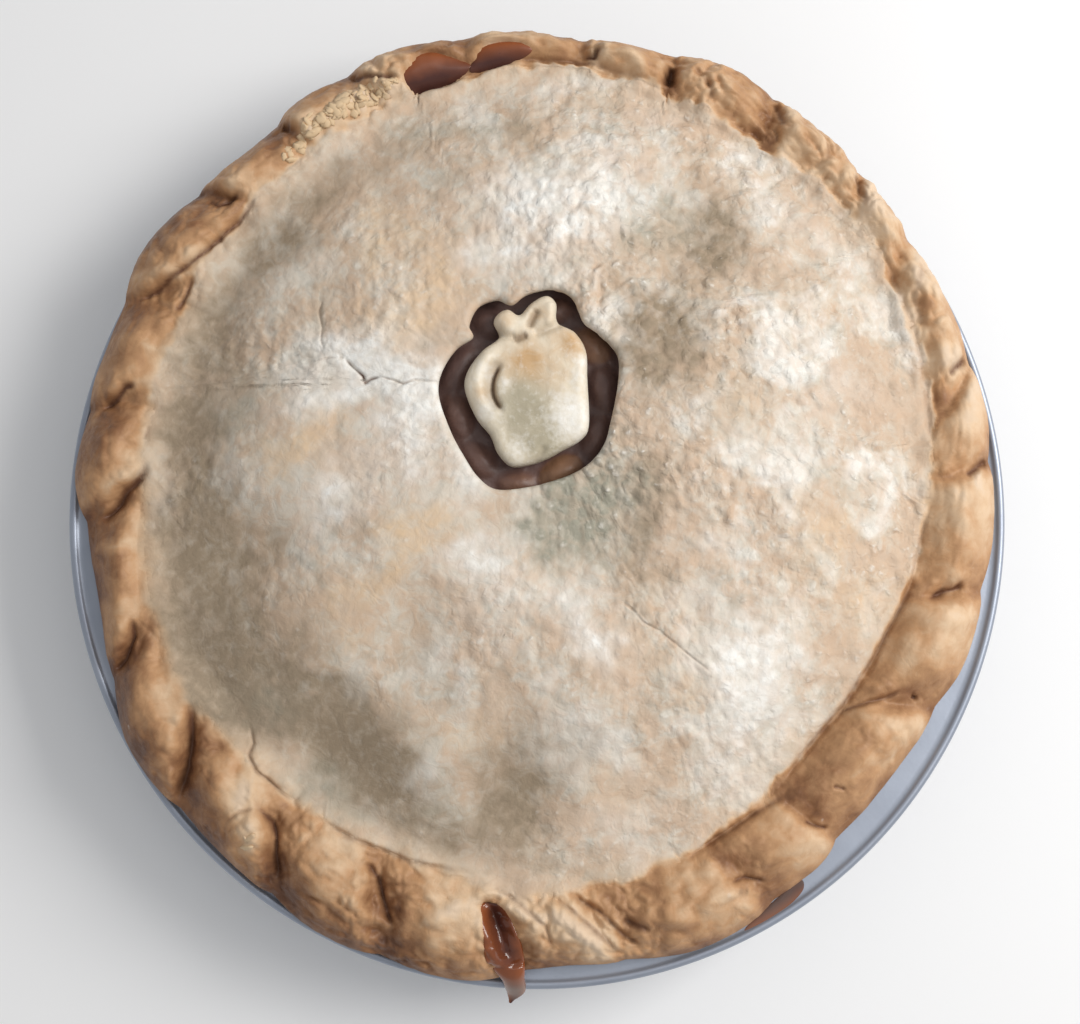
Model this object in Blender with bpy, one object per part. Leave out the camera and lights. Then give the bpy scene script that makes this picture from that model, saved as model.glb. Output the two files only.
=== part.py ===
# A two-crust apple pie in its foil tin, modelled in metres with +Z up.
# The origin is the middle of the tin's base, +X is the viewer's right and +Y points away from the viewer.

import math

import bmesh
import bpy
import numpy as np
from mathutils import Vector

# Driving dimensions, in millimetres and degrees
MM = 0.001
GAP = 0.35

TIN_BASE_RADIUS = 93.0
TIN_MOUTH_RADIUS = 109.0
TIN_RIM_RADIUS = 122.0
TIN_HEIGHT = 35.0
TIN_WALL = 0.8
TIN_BEAD = 1.2
TIN_CORNER = 4.0
TIN_STEPS = 48

CRUST_WALL = 4.6
LID_THICKNESS = 4.0
LID_TOP = 61.0
LID_FOLD_HEIGHT = 40.5
LID_CENTRE = (-1.0, 9.0)
LID_FULLNESS = 2.3
CRIMP_RISE = 5.2
CRIMP_EDGE_DROP = 3.4
CRIMP_SWELL = 1.3
CRIMP_LEAN = 1.4
CREASE_ONSET = 0.4
UNDER_EDGE_RISE = 1.2
CRIMP_COLUMNS = 8
CREASE_GATHER = 0.6
CRUST_TRIANGLES = 7700

# Where the crust's rings lie: shares of the way from the lid's middle to its fold, shares of the
# way across the rope edge, and the edge's underside as an inset with its lift off the flange
LID_SHARES = (0.06, 0.14, 0.23, 0.32, 0.41, 0.5, 0.58, 0.66, 0.74, 0.81, 0.88, 0.94, 0.98)
EDGE_SHARES = (0.0, 0.1, 0.22, 0.35, 0.5, 0.64, 0.77, 0.88, 0.96, 1.0)
EDGE_CURL = ((0.5, 1.6), (2.2, 0.3), (4.5, 0.0))

# The space for the filling, and the filling in it: columns, shares of the way from the vent to the
# wall, the clearances that baking left, and the height where the wall starts to slope in
CORE_COLUMNS = 44
SPACE_SHARES = (0.2, 0.38, 0.52, 0.68, 0.84, 1.0)
FILLING_SHARES = (0.05, 0.1, 0.15, 0.2, 0.25, 0.3, 0.38, 0.52, 0.68, 0.84, 1.0)
FOLD_MARGIN = 6.0
SHOULDER_HEIGHT = 28.0
SIDE_CLEARANCE = 1.0
TOP_CLEARANCE = 1.2
BASE_CLEARANCE = 0.5

VENT_CENTRE = (-2.0, 28.0)
VENT_DEPTH = 6.6
VENT_CUT_REACH = 12.0
FRUIT_ROUNDNESS = 2.2
SYRUP_LEVEL = 2.6
FRUIT_REACH = 27.0
FRUIT_BLEND = 8.0
APPLE_THICKNESS = 4.4
APPLE_ROUNDING = 1.5
SYRUP_GAP = 0.55

# The rope edge, one row for each crimp, anticlockwise from +X: the angle of the crease where it
# starts, how far that crease slants, its depth, the crimp's reach and the radius of the lid's fold
CRIMPS = [
    (6.0, 2.0, 0.5, 119.5, 102.0),
    (18.5, 7.5, 0.8, 120.5, 107.0),
    (36.0, 2.0, 0.6, 122.5, 111.5),
    (46.5, 4.0, 0.7, 125.5, 112.5),
    (60.0, 2.0, 0.9, 128.5, 113.0),
    (73.0, 0.5, 1.0, 126.0, 115.5),
    (84.5, 0.5, 1.0, 127.5, 116.5),
    (99.0, 1.0, 0.6, 128.5, 114.5),
    (113.5, 3.0, 0.6, 126.0, 110.5),
    (124.0, 2.0, 0.6, 122.0, 108.5),
    (137.0, 4.0, 0.8, 124.0, 106.0),
    (153.0, 6.5, 0.9, 120.0, 101.5),
    (167.5, 4.0, 0.7, 120.0, 101.5),
    (181.5, 5.0, 1.0, 115.0, 100.5),
    (202.0, 7.0, 0.9, 120.5, 101.0),
    (220.0, 10.0, 1.0, 118.5, 97.5),
    (235.5, 7.5, 0.9, 120.5, 95.5),
    (250.5, 6.0, 0.9, 120.5, 94.5),
    (267.5, 5.0, 0.9, 115.5, 97.5),
    (281.0, 5.5, 0.9, 118.5, 96.0),
    (301.0, 3.5, 0.7, 115.5, 94.5),
    (312.0, 2.5, 0.7, 113.0, 92.5),
    (333.5, 4.5, 0.8, 116.5, 94.5),
    (349.5, 3.0, 0.8, 118.0, 99.0),
]

# Lumps and hollows of the lid over the fruit: x, y, radius, height
LUMPS = [
    (-38.0, 52.0, 20.0, 2.6),
    (-62.0, 14.0, 18.0, 2.4),
    (-27.0, -8.0, 16.0, 3.0),
    (-50.0, -27.0, 16.0, 2.2),
    (8.0, 78.0, 20.0, 2.6),
    (42.0, 24.0, 17.0, 2.2),
    (70.0, -4.0, 18.0, 2.8),
    (50.0, -42.0, 18.0, 2.4),
    (14.0, -48.0, 15.0, 2.4),
    (66.0, 44.0, 18.0, 2.4),
    (-30.0, -66.0, 13.0, 1.8),
    (-70.0, 50.0, 16.0, 1.8),
    (36.0, 66.0, 15.0, -3.4),
    (14.0, -10.0, 15.0, -3.0),
    (-30.0, -34.0, 12.0, -2.6),
    (-50.0, -64.0, 13.0, -2.8),
    (-6.0, -72.0, 13.0, -2.8),
    (34.0, -76.0, 14.0, -1.6),
    (-74.0, -12.0, 12.0, -1.8),
    (84.0, 26.0, 12.0, -1.6),
]

# The vent cut through the lid, an apple with its stem and leaf, clockwise from the stem
VENT_OUTLINE = [
    (-16.9, 44.0), (-14.7, 48.8), (-10.1, 50.7), (-6.3, 49.4), (-2.4, 52.0), (3.6, 53.3),
    (8.7, 51.2), (11.6, 45.0), (15.9, 41.4), (20.0, 36.6), (20.1, 29.3), (18.2, 19.4),
    (16.3, 13.4), (11.6, 8.3), (4.0, 4.9), (-4.0, 3.0), (-10.4, 2.8), (-14.6, 5.8),
    (-18.0, 10.9), (-21.4, 17.3), (-24.4, 26.3), (-23.6, 32.3), (-20.2, 37.9), (-16.0, 41.0),
]

# The dough apple that lies in the vent, clockwise from the stem
APPLE_OUTLINE = [
    (-10.9, 45.1), (-9.4, 47.6), (-7.1, 48.4), (-4.4, 47.0), (-1.5, 50.0), (2.3, 52.0),
    (4.8, 50.0), (5.1, 45.3), (9.6, 42.5), (12.3, 37.7), (12.6, 30.8), (13.0, 19.6),
    (11.2, 15.7), (6.1, 12.7), (2.3, 10.6), (-2.4, 9.1), (-6.6, 8.9), (-9.8, 12.1),
    (-11.7, 16.6), (-15.1, 20.9), (-18.0, 27.8), (-17.5, 32.5), (-13.9, 37.7), (-9.6, 41.3),
]

# Pieces of fruit that show in the vent: x, y, half length, half width, turn, how deep they lie
FRUIT = [
    (-20.0, 34.0, 7.0, 4.0, 60.0, 0.4),
    (-20.0, 22.0, 6.0, 4.0, 110.0, 0.2),
    (-15.0, 11.0, 6.0, 4.0, 140.0, 0.6),
    (-5.0, 5.0, 6.0, 3.5, 5.0, 0.9),
    (6.0, 8.0, 6.0, 4.0, 30.0, 0.2),
    (15.0, 17.0, 6.0, 4.0, 75.0, 0.4),
    (17.0, 29.0, 6.0, 4.0, 100.0, 0.1),
    (14.0, 40.0, 6.0, 4.5, 140.0, 0.5),
    (5.0, 49.0, 5.0, 3.5, 20.0, 0.7),
    (-12.0, 46.0, 5.0, 4.0, 150.0, 0.3),
]

# Syrup that has leaked: its name, angle, half width in degrees, where across the edge it
# starts and ends (0 at the lid's fold, 1 at the rim) and its thickness
SYRUP = [
    ("syrup_pocket_left", 104.7, 4.2, 0.02, 0.46, 1.3),
    ("syrup_pocket_right", 95.0, 3.9, 0.04, 0.42, 1.2),
]
SYRUP_SIDES = (-1.0, -0.6, -0.2, 0.2, 0.6, 1.0)
SYRUP_RIM = 0.4
POCKET_ROWS = 7
DRIP_START_ANGLE = 266.4
DRIP_TIP_ANGLE = 267.0
DRIP_HALF_WIDTH = 5.6
DRIP_THICKNESS = 2.4
DRIP_START = 0.3
DRIP_ROWS = 8
DRIP_NECK = 0.5
DRIP_TIP_SHARE = 0.2
DRIP_HANGING_ROWS = 6
DRIP_HANGING_THICKNESS = 1.6
DRIP_TIP_RADIUS = 125.5
DRIP_TIP_HEIGHT = 30.5

FLANGE_TOP = TIN_HEIGHT - TIN_BEAD + TIN_WALL / 2.0
CREASES = [row[0] for row in CRIMPS]


def clear_scene():
    for item in list(bpy.data.objects):
        bpy.data.objects.remove(item, do_unlink=True)


def make_material(name, colour, roughness, metallic=0.0):
    material = bpy.data.materials.new(name)
    material.use_nodes = True
    shader = material.node_tree.nodes["Principled BSDF"]
    shader.inputs["Base Color"].default_value = (*colour, 1.0)
    shader.inputs["Roughness"].default_value = roughness
    shader.inputs["Metallic"].default_value = metallic
    return material


def add_object(name, mesh_builder, material):
    """Turn a bmesh in millimetres into a named object in metres."""
    bmesh.ops.scale(mesh_builder, vec=(MM, MM, MM), verts=mesh_builder.verts)
    bmesh.ops.recalc_face_normals(mesh_builder, faces=mesh_builder.faces)
    mesh = bpy.data.meshes.new(name)
    mesh_builder.to_mesh(mesh)
    mesh_builder.free()
    mesh.shade_smooth()
    mesh.set_sharp_from_angle(angle=math.radians(40.0))
    piece = bpy.data.objects.new(name, mesh)
    bpy.context.scene.collection.objects.link(piece)
    if material:
        mesh.materials.append(material)
    return piece


def add_cutter(name, mesh_builder):
    cutter = add_object(name, mesh_builder, None)
    cutter.hide_render = True
    cutter.display_type = "WIRE"
    return cutter


def cut(piece, cutter):
    modifier = piece.modifiers.new("Cut " + cutter.name, "BOOLEAN")
    modifier.operation = "DIFFERENCE"
    modifier.solver = "EXACT"
    modifier.object = cutter


def loft(rings, first_pole, last_pole):
    """Closed surface through rings of equal length, each end closed on a pole."""
    builder = bmesh.new()
    loops = [[builder.verts.new(point) for point in ring] for ring in rings]
    for near, far in zip(loops, loops[1:]):
        for k in range(len(near)):
            after = (k + 1) % len(near)
            builder.faces.new((near[k], near[after], far[after], far[k]))
    for loop, pole in ((loops[0], first_pole), (loops[-1], last_pole)):
        tip = builder.verts.new(pole)
        for k in range(len(loop)):
            builder.faces.new((loop[k], loop[(k + 1) % len(loop)], tip))
    return builder


def ease(value):
    value = min(max(value, 0.0), 1.0)
    return value * value * (3.0 - 2.0 * value)


def polar(radius, turn, height=0.0):
    angle = math.radians(turn)
    return Vector((radius * math.cos(angle), radius * math.sin(angle), height))


def crimp_at(turn):
    """The crimp that an outer angle falls in, and how far along it, from 0 to 1."""
    turn %= 360.0
    index = sum(1 for crease in CREASES if crease <= turn) - 1
    start = CREASES[index] if index >= 0 else CREASES[-1] - 360.0
    end = CREASES[index + 1] if index + 1 < len(CREASES) else CREASES[0] + 360.0
    return index % len(CRIMPS), (turn - start) / (end - start)


def between_creases(turn, column):
    """A value given at each crease, shared out evenly over the crimp that follows."""
    index, along = crimp_at(turn)
    following = (index + 1) % len(CRIMPS)
    return CRIMPS[index][column] * (1.0 - along) + CRIMPS[following][column] * along


def between_crimps(turn, column):
    """A value given at the middle of each crimp, blended smoothly into its neighbours."""
    index, along = crimp_at(turn)
    other = (index + (1 if along > 0.5 else -1)) % len(CRIMPS)
    share = ease(abs(along - 0.5))
    return CRIMPS[index][column] * (1.0 - share) + CRIMPS[other][column] * share


def pillow(turn):
    """Swelling across a crimp: nothing in its creases, 1 over its back, fuller at its far end."""
    along = crimp_at(turn)[1] ** CRIMP_LEAN
    return 1.0 - abs(2.0 * along - 1.0) ** 3.0


def fold_point(turn):
    """Where the lid folds into the crimp that has this outer angle."""
    inner_turn = turn - between_creases(turn, 1)
    return polar(between_crimps(turn, 4), inner_turn)


def band_point(turn, across):
    """A point of the rope edge, from the lid's fold (0) to the outermost edge (1)."""
    swell = pillow(turn)
    depth = between_creases(turn, 2)
    reach = between_crimps(turn, 3) + CRIMP_SWELL * (swell - 0.7)
    radius = between_crimps(turn, 4) * (1.0 - across) + reach * across
    height = 1.0 - depth * (1.0 - swell) * ease(across / CREASE_ONSET)
    ridge = math.sin(math.pi * across ** 0.9) ** 0.8 if across < 1.0 else 0.0
    z = LID_FOLD_HEIGHT + CRIMP_RISE * ridge * height - CRIMP_EDGE_DROP * across ** 3.0
    return polar(radius, turn - between_creases(turn, 1) * (1.0 - across), z)


def lid_edge_table():
    """The fold line seen from the lid's own middle, as angles and distances."""
    angles = []
    distances = []
    for turn in range(0, 360, 2):
        point = fold_point(turn)
        away = Vector((point.x - LID_CENTRE[0], point.y - LID_CENTRE[1]))
        angles.append(math.atan2(away.y, away.x))
        distances.append(away.length)
    return angles, distances


def lumps_at(x, y):
    total = 0.0
    for lump_x, lump_y, radius, height in LUMPS:
        apart = math.hypot(x - lump_x, y - lump_y) / radius
        total += height * math.exp(-apart * apart)
    return total


def lid_height(x, y):
    """Height of the lid's outer face over a place on the plan."""
    away_x = x - LID_CENTRE[0]
    away_y = y - LID_CENTRE[1]
    edge = np.interp(math.atan2(away_y, away_x), *LID_EDGE, period=2.0 * math.pi)
    share = min(math.hypot(away_x, away_y) / edge, 1.0)
    dome = (LID_TOP - LID_FOLD_HEIGHT) * (1.0 - share ** LID_FULLNESS)
    return LID_FOLD_HEIGHT + dome + lumps_at(x, y) * ease((1.0 - share) * 5.0)


def wall_radius(height):
    """Inner radius of the tin's sloping wall at a height above the table."""
    rise = (height - TIN_WALL) / (FLANGE_TOP - TIN_WALL)
    return TIN_BASE_RADIUS + (TIN_MOUTH_RADIUS - TIN_BASE_RADIUS) * rise - TIN_WALL


def under_edge(radius):
    """Height of the rope edge's underside, which lies on the flange and clears its bead."""
    bead_start = TIN_RIM_RADIUS - 2.0 * TIN_BEAD - 1.4
    lift = ease((radius - bead_start) / UNDER_EDGE_RISE)
    return FLANGE_TOP + GAP + (TIN_HEIGHT - FLANGE_TOP) * lift


def crust_rings():
    """Rings of the whole crust: lid from its middle, rope edge, underside, wall and base."""
    turns = []
    for index, start in enumerate(CREASES):
        end = CREASES[index + 1] if index + 1 < len(CREASES) else CREASES[0] + 360.0
        for step in range(CRIMP_COLUMNS):
            even = step / CRIMP_COLUMNS
            gathered = 0.5 - 0.5 * math.cos(math.pi * even)
            along = CREASE_GATHER * gathered + (1.0 - CREASE_GATHER) * even
            turns.append(start + (end - start) * along)
    middle = Vector((*LID_CENTRE, 0.0))
    rings = []
    for share in LID_SHARES:
        ring = [middle.lerp(fold_point(turn), share) for turn in turns]
        for point in ring:
            point.z = lid_height(point.x, point.y)
        rings.append(ring)
    for across in EDGE_SHARES:
        rings.append([band_point(turn, across) for turn in turns])
    for inset, lift in EDGE_CURL:
        ring = []
        for turn in turns:
            edge = band_point(turn, 1.0)
            radius = math.hypot(edge.x, edge.y) - inset
            ring.append(polar(radius, turn, under_edge(radius) + lift))
        rings.append(ring)
    for radius, height in (
        (TIN_MOUTH_RADIUS + 0.6, under_edge(TIN_MOUTH_RADIUS)),
        (wall_radius(FLANGE_TOP - 1.5) - GAP, FLANGE_TOP - 1.5),
        (wall_radius(TIN_WALL + TIN_CORNER) - GAP, TIN_WALL + TIN_CORNER),
        (wall_radius(TIN_WALL) - TIN_CORNER * 0.8, TIN_WALL + GAP),
    ):
        rings.append([polar(radius, turn, height) for turn in turns])
    return rings


def core_rings(shares, side, top, base, relief):
    """Rings of the space inside the crust, or of what fills it, spread out from the vent."""
    middle = Vector((*VENT_CENTRE, 0.0))
    edge = []
    for step in range(CORE_COLUMNS):
        turn = 360.0 * step / CORE_COLUMNS
        inner = fold_point(turn).length - FOLD_MARGIN
        radius = min(inner, wall_radius(FLANGE_TOP) - CRUST_WALL) - side
        edge.append(polar(radius, turn))
    rings = []
    for share in shares:
        ring = [middle.lerp(point, share) for point in edge]
        for point in ring:
            point.z = lid_height(point.x, point.y) - LID_THICKNESS - top
            if relief:
                point.z = min(point.z, fruit_height(point.x, point.y, point.z))
        rings.append(ring)
    for height in (SHOULDER_HEIGHT, base + TIN_CORNER, base):
        shrink = CRUST_WALL + side + (TIN_CORNER * 0.6 if height == base else 0.0)
        ring = []
        for point in edge:
            radius = min(wall_radius(height) - shrink, point.length)
            ring.append(polar(radius, math.degrees(math.atan2(point.y, point.x)), height))
        rings.append(ring)
    return rings


def fruit_height(x, y, ceiling):
    """Height of the fruit that shows in the vent, sunk below the lid's underside."""
    away = math.hypot(x - VENT_CENTRE[0], y - VENT_CENTRE[1])
    level = lid_height(*VENT_CENTRE) - VENT_DEPTH
    surface = level - SYRUP_LEVEL
    for fruit_x, fruit_y, half_length, half_width, turn, depth in FRUIT:
        angle = math.radians(turn)
        along = (x - fruit_x) * math.cos(angle) + (y - fruit_y) * math.sin(angle)
        beside = (y - fruit_y) * math.cos(angle) - (x - fruit_x) * math.sin(angle)
        spread = (along / half_length) ** 2 + (beside / half_width) ** 2
        surface = max(surface, level - depth - FRUIT_ROUNDNESS * min(spread, 4.0))
    return surface + (ceiling - surface) * ease((away - FRUIT_REACH) / FRUIT_BLEND)


def smooth_outline(points, per_side):
    """A closed outline through hand-set points, rounded between them."""
    count = len(points)
    outline = []
    for k in range(count):
        before, here, after, beyond = (Vector(points[(k + step) % count]) for step in (-1, 0, 1, 2))
        for step in range(per_side):
            t = step / per_side
            slope_in = (after - before) * 0.5
            slope_out = (beyond - here) * 0.5
            blend = 2 * t ** 3 - 3 * t ** 2 + 1
            outline.append(
                here * blend
                + after * (1.0 - blend)
                + slope_in * (t ** 3 - 2 * t ** 2 + t)
                + slope_out * (t ** 3 - t ** 2)
            )
    return outline


def extruded(outline, bottom, top):
    builder = bmesh.new()
    base = builder.faces.new([builder.verts.new((point.x, point.y, bottom)) for point in outline])
    raised = bmesh.ops.extrude_face_region(builder, geom=[base])
    lifted = [item for item in raised["geom"] if isinstance(item, bmesh.types.BMVert)]
    bmesh.ops.translate(builder, verts=lifted, vec=(0.0, 0.0, top - bottom))
    return builder


def make_tin(material):
    """Turned foil pan: flat base, sloping wall, flange and rolled bead."""
    top = FLANGE_TOP
    outer_corner = wall_radius(TIN_CORNER) + TIN_WALL
    bead_centre = TIN_RIM_RADIUS - TIN_BEAD
    bead_height = TIN_HEIGHT - TIN_BEAD
    profile = [(0.0, TIN_WALL), (TIN_BASE_RADIUS - TIN_CORNER, TIN_WALL)]
    profile.append((wall_radius(TIN_CORNER), TIN_CORNER))
    profile.append((wall_radius(top), top - 1.0))
    profile.append((TIN_MOUTH_RADIUS + 0.4, top))
    profile.append((bead_centre - TIN_BEAD, top))
    for step in range(7):
        angle = math.radians(150.0 - 50.0 * step)
        profile.append(
            (bead_centre + TIN_BEAD * math.cos(angle), bead_height + TIN_BEAD * math.sin(angle))
        )
    profile.append((bead_centre - TIN_BEAD, top - TIN_WALL))
    profile.append((TIN_MOUTH_RADIUS + TIN_WALL, top - TIN_WALL))
    profile.append((outer_corner, TIN_CORNER))
    profile.append((TIN_BASE_RADIUS - TIN_CORNER, 0.0))
    profile.append((0.0, 0.0))
    mesh = bpy.data.meshes.new("pie_tin")
    points = [(radius * MM, 0.0, height * MM) for radius, height in profile]
    mesh.from_pydata(points, [(k, k + 1) for k in range(len(points) - 1)], [])
    mesh.materials.append(material)
    tin = bpy.data.objects.new("pie_tin", mesh)
    bpy.context.scene.collection.objects.link(tin)
    screw = tin.modifiers.new("Turn", "SCREW")
    screw.steps = TIN_STEPS
    screw.render_steps = TIN_STEPS
    screw.use_merge_vertices = True
    screw.merge_threshold = 0.00001
    screw.use_normal_calculate = True


def make_crust(material):
    """Bottom crust, lid and rope edge, baked into one, hollow for the filling and open at the vent."""
    builder = loft(
        crust_rings(),
        (*LID_CENTRE, lid_height(*LID_CENTRE)),
        (0.0, 0.0, TIN_WALL + GAP),
    )
    bmesh.ops.triangulate(builder, faces=builder.faces)
    full = len(builder.faces)
    crust = add_object("crust", builder, material)
    thin_out = crust.modifiers.new("Thin out", "DECIMATE")
    thin_out.ratio = CRUST_TRIANGLES / full
    base = TIN_WALL + GAP + CRUST_WALL
    rings = core_rings(SPACE_SHARES, 0.0, 0.0, base, False)
    top = (*VENT_CENTRE, lid_height(*VENT_CENTRE) - LID_THICKNESS)
    cut(crust, add_cutter("filling_space", loft(rings, top, (0.0, 0.0, base))))
    vent = extruded(smooth_outline(VENT_OUTLINE, 3), LID_TOP - VENT_CUT_REACH, LID_TOP + VENT_CUT_REACH)
    cut(crust, add_cutter("vent_cut", vent))


def make_filling(material):
    """Apple filling, through the whole pie, with the pieces that show in the vent."""
    base = TIN_WALL + GAP + CRUST_WALL + BASE_CLEARANCE
    rings = core_rings(FILLING_SHARES, SIDE_CLEARANCE, TOP_CLEARANCE, base, True)
    level = fruit_height(*VENT_CENTRE, 0.0)
    add_object("filling", loft(rings, (*VENT_CENTRE, level), (0.0, 0.0, base)), material)


def make_dough_apple(material):
    """The apple cut from the lid, laid back on the filling, with rounded upper edges."""
    bottom = lid_height(*VENT_CENTRE) - VENT_DEPTH + GAP
    outline = smooth_outline(APPLE_OUTLINE, 2)
    builder = extruded(outline, bottom, bottom + APPLE_THICKNESS)
    upper = [
        edge
        for edge in builder.edges
        if all(vert.co.z > bottom + 0.5 * APPLE_THICKNESS for vert in edge.verts)
    ]
    bmesh.ops.bevel(builder, geom=upper, offset=APPLE_ROUNDING, segments=2, affect="EDGES")
    add_object("dough_apple", builder, material)


def surface_frame(turn, across):
    """A point of the rope edge and the way straight out of its surface."""
    point = band_point(turn, across)
    step = 0.03
    inward = band_point(turn, across - step) if across > 0.5 else point
    outward = point if across > 0.5 else band_point(turn, across + step)
    along = outward - inward
    beside = band_point(turn + 0.5, across) - band_point(turn - 0.5, across)
    normal = along.cross(beside).normalized()
    return point, normal if normal.z > 0.0 else -normal


def make_syrup(name, rows, material):
    """A thick patch of syrup from rows of places with their outward ways and thicknesses."""
    rings = []
    for row in rows:
        under = [place + way * SYRUP_GAP for place, way, thickness in row]
        over = [place + way * (SYRUP_GAP + thickness) for place, way, thickness in row]
        rings.append(under + over[::-1])
    middle = len(rings[0]) // 4
    poles = [(ring[middle] + ring[-1 - middle]) / 2.0 for ring in (rings[0], rings[-1])]
    add_object(name, loft(rings, *poles), material)


def make_syrup_pocket(name, turn, half_width, start, end, thickness, material):
    rows = []
    for step in range(POCKET_ROWS):
        across = start + (end - start) * step / (POCKET_ROWS - 1)
        spread = half_width * (0.35 + 0.65 * math.sin(math.pi * (step + 0.6) / (POCKET_ROWS + 0.2)))
        row = []
        for side in SYRUP_SIDES:
            place, way = surface_frame(turn + side * spread, across)
            row.append((place, way, SYRUP_RIM + thickness * (1.0 - side * side)))
        rows.append(row)
    make_syrup(name, rows, material)


def make_syrup_drip(material):
    """The run of syrup over the rope edge, down over the tin's bead to a hanging tip."""
    rows = []
    half_turn = math.degrees(DRIP_HALF_WIDTH / TIN_RIM_RADIUS)
    for step in range(DRIP_ROWS):
        share = step / (DRIP_ROWS - 1)
        across = DRIP_START + (1.0 - DRIP_START) * share
        belly = 0.4 + 0.6 * ease(share * 2.0)
        spread = half_turn * (belly - (1.0 - DRIP_NECK) * ease((share - 0.7) / 0.3))
        middle = DRIP_START_ANGLE + (DRIP_TIP_ANGLE - DRIP_START_ANGLE) * 0.7 * across
        row = []
        for side in SYRUP_SIDES:
            place, way = surface_frame(middle + side * spread, across)
            row.append((place, way, SYRUP_RIM + DRIP_THICKNESS * (1.0 - side * side)))
        rows.append(row)
    edge = band_point(middle, 1.0)
    start = Vector((math.hypot(edge.x, edge.y), edge.z))
    over_bead = Vector((TIN_RIM_RADIUS - 0.5, TIN_HEIGHT + 0.6))
    tip = Vector((DRIP_TIP_RADIUS, DRIP_TIP_HEIGHT))
    for step in range(1, DRIP_HANGING_ROWS + 1):
        t = step / DRIP_HANGING_ROWS
        place = start.lerp(over_bead, min(t * 1.8, 1.0)).lerp(tip, ease((t - 0.45) / 0.55))
        tilt = math.radians(70.0 - 60.0 * ease(t))
        angle = middle + (DRIP_TIP_ANGLE - middle) * t
        row = []
        for side in SYRUP_SIDES:
            turn = angle + side * half_turn * (DRIP_NECK + (DRIP_TIP_SHARE - DRIP_NECK) * t)
            way = polar(math.cos(tilt), angle, math.sin(tilt))
            thickness = SYRUP_RIM + DRIP_HANGING_THICKNESS * (1.0 - side * side)
            row.append((polar(place.x, turn, place.y), way, thickness))
        rows.append(row)
    make_syrup("syrup_drip", rows, material)


clear_scene()
LID_EDGE = lid_edge_table()
make_tin(make_material("tin_foil", (0.42, 0.44, 0.46), 0.34, 1.0))
make_crust(make_material("baked_crust", (0.58, 0.43, 0.27), 0.62))
make_filling(make_material("apple_filling", (0.10, 0.045, 0.03), 0.3))
make_dough_apple(make_material("pale_dough", (0.66, 0.55, 0.40), 0.6))
SYRUP_MATERIAL = make_material("syrup", (0.12, 0.03, 0.02), 0.12)
for syrup_name, *syrup_sizes in SYRUP:
    make_syrup_pocket(syrup_name, *syrup_sizes, SYRUP_MATERIAL)
make_syrup_drip(SYRUP_MATERIAL)
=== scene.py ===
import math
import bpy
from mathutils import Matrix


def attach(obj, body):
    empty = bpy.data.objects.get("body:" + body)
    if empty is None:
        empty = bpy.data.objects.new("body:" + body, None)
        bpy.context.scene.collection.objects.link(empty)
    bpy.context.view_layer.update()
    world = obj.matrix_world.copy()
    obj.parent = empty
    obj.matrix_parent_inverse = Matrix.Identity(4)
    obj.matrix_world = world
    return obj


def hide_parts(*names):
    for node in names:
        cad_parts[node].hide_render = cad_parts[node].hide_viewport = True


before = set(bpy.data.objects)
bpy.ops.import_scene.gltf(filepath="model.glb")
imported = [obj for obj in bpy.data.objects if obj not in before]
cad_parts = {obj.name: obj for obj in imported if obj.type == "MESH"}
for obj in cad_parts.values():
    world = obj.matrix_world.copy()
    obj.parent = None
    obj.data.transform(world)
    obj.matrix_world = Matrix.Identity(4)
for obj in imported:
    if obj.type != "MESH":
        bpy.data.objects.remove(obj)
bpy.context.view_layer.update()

# An apple pie in its foil tin. Shapes are worked out in millimetres and put into meshes in metres.
from types import SimpleNamespace

import bmesh
import bpy
import numpy as np
from mathutils import Vector

mm = 0.001
rng = np.random.default_rng(24)


# Shared sums

def ease(value):
    value = np.clip(value, 0.0, 1.0)
    return value * value * (3.0 - 2.0 * value)


def blend(first, second, share):
    return first * (1.0 - share) + second * share


def bell(distance, width):  # 1 at the middle, fading out over the width
    return np.exp(-(distance / width) ** 2)


slopes = rng.normal(size=(1024, 3))
slopes /= np.linalg.norm(slopes, axis=1)[:, None]


def grain(points, size, seed):  # smooth random relief, about -1 to 1, with bumps of that size
    scaled = points / size + seed * 17.31
    cell = np.floor(scaled).astype(np.int64)
    inside = scaled - cell
    fade = inside ** 3 * (inside * (inside * 6.0 - 15.0) + 10.0)
    total = np.zeros(points.shape[:-1])
    for corner in np.ndindex(2, 2, 2):
        spot = cell + corner
        key = (spot[..., 0] * 73856093) ^ (spot[..., 1] * 19349663) ^ (spot[..., 2] * 83492791)
        slope = slopes[(key >> 5) & 1023]
        share = np.prod(np.where(np.array(corner) == 1, fade, 1.0 - fade), axis=-1)
        total += share * np.sum(slope * (inside - corner), axis=-1)
    return total * 1.7


def blisters(x, y, pitch, seed, least, most):  # round blisters scattered over the plan, 0 to 1 high
    height = np.zeros(np.shape(x))
    cellX = np.floor(x / pitch).astype(np.int64)
    cellY = np.floor(y / pitch).astype(np.int64)
    for stepX in (-1, 0, 1):
        for stepY in (-1, 0, 1):
            spotX = cellX + stepX
            spotY = cellY + stepY
            key = (spotX * 73856093) ^ (spotY * 19349663) ^ (seed * 83492791)
            a, b, c, d = (((key >> shift) & 255) / 255.0 for shift in (3, 7, 11, 15))
            middleX = (spotX + 0.15 + 0.7 * a) * pitch
            middleY = (spotY + 0.15 + 0.7 * b) * pitch
            radius = pitch * (least + (most - least) * c)
            far = ((x - middleX) ** 2 + (y - middleY) ** 2) / radius ** 2
            height = np.maximum(height, (0.45 + 0.55 * d) * np.clip(1.0 - far, 0.0, 1.0) ** 0.8)
    return height


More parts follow.
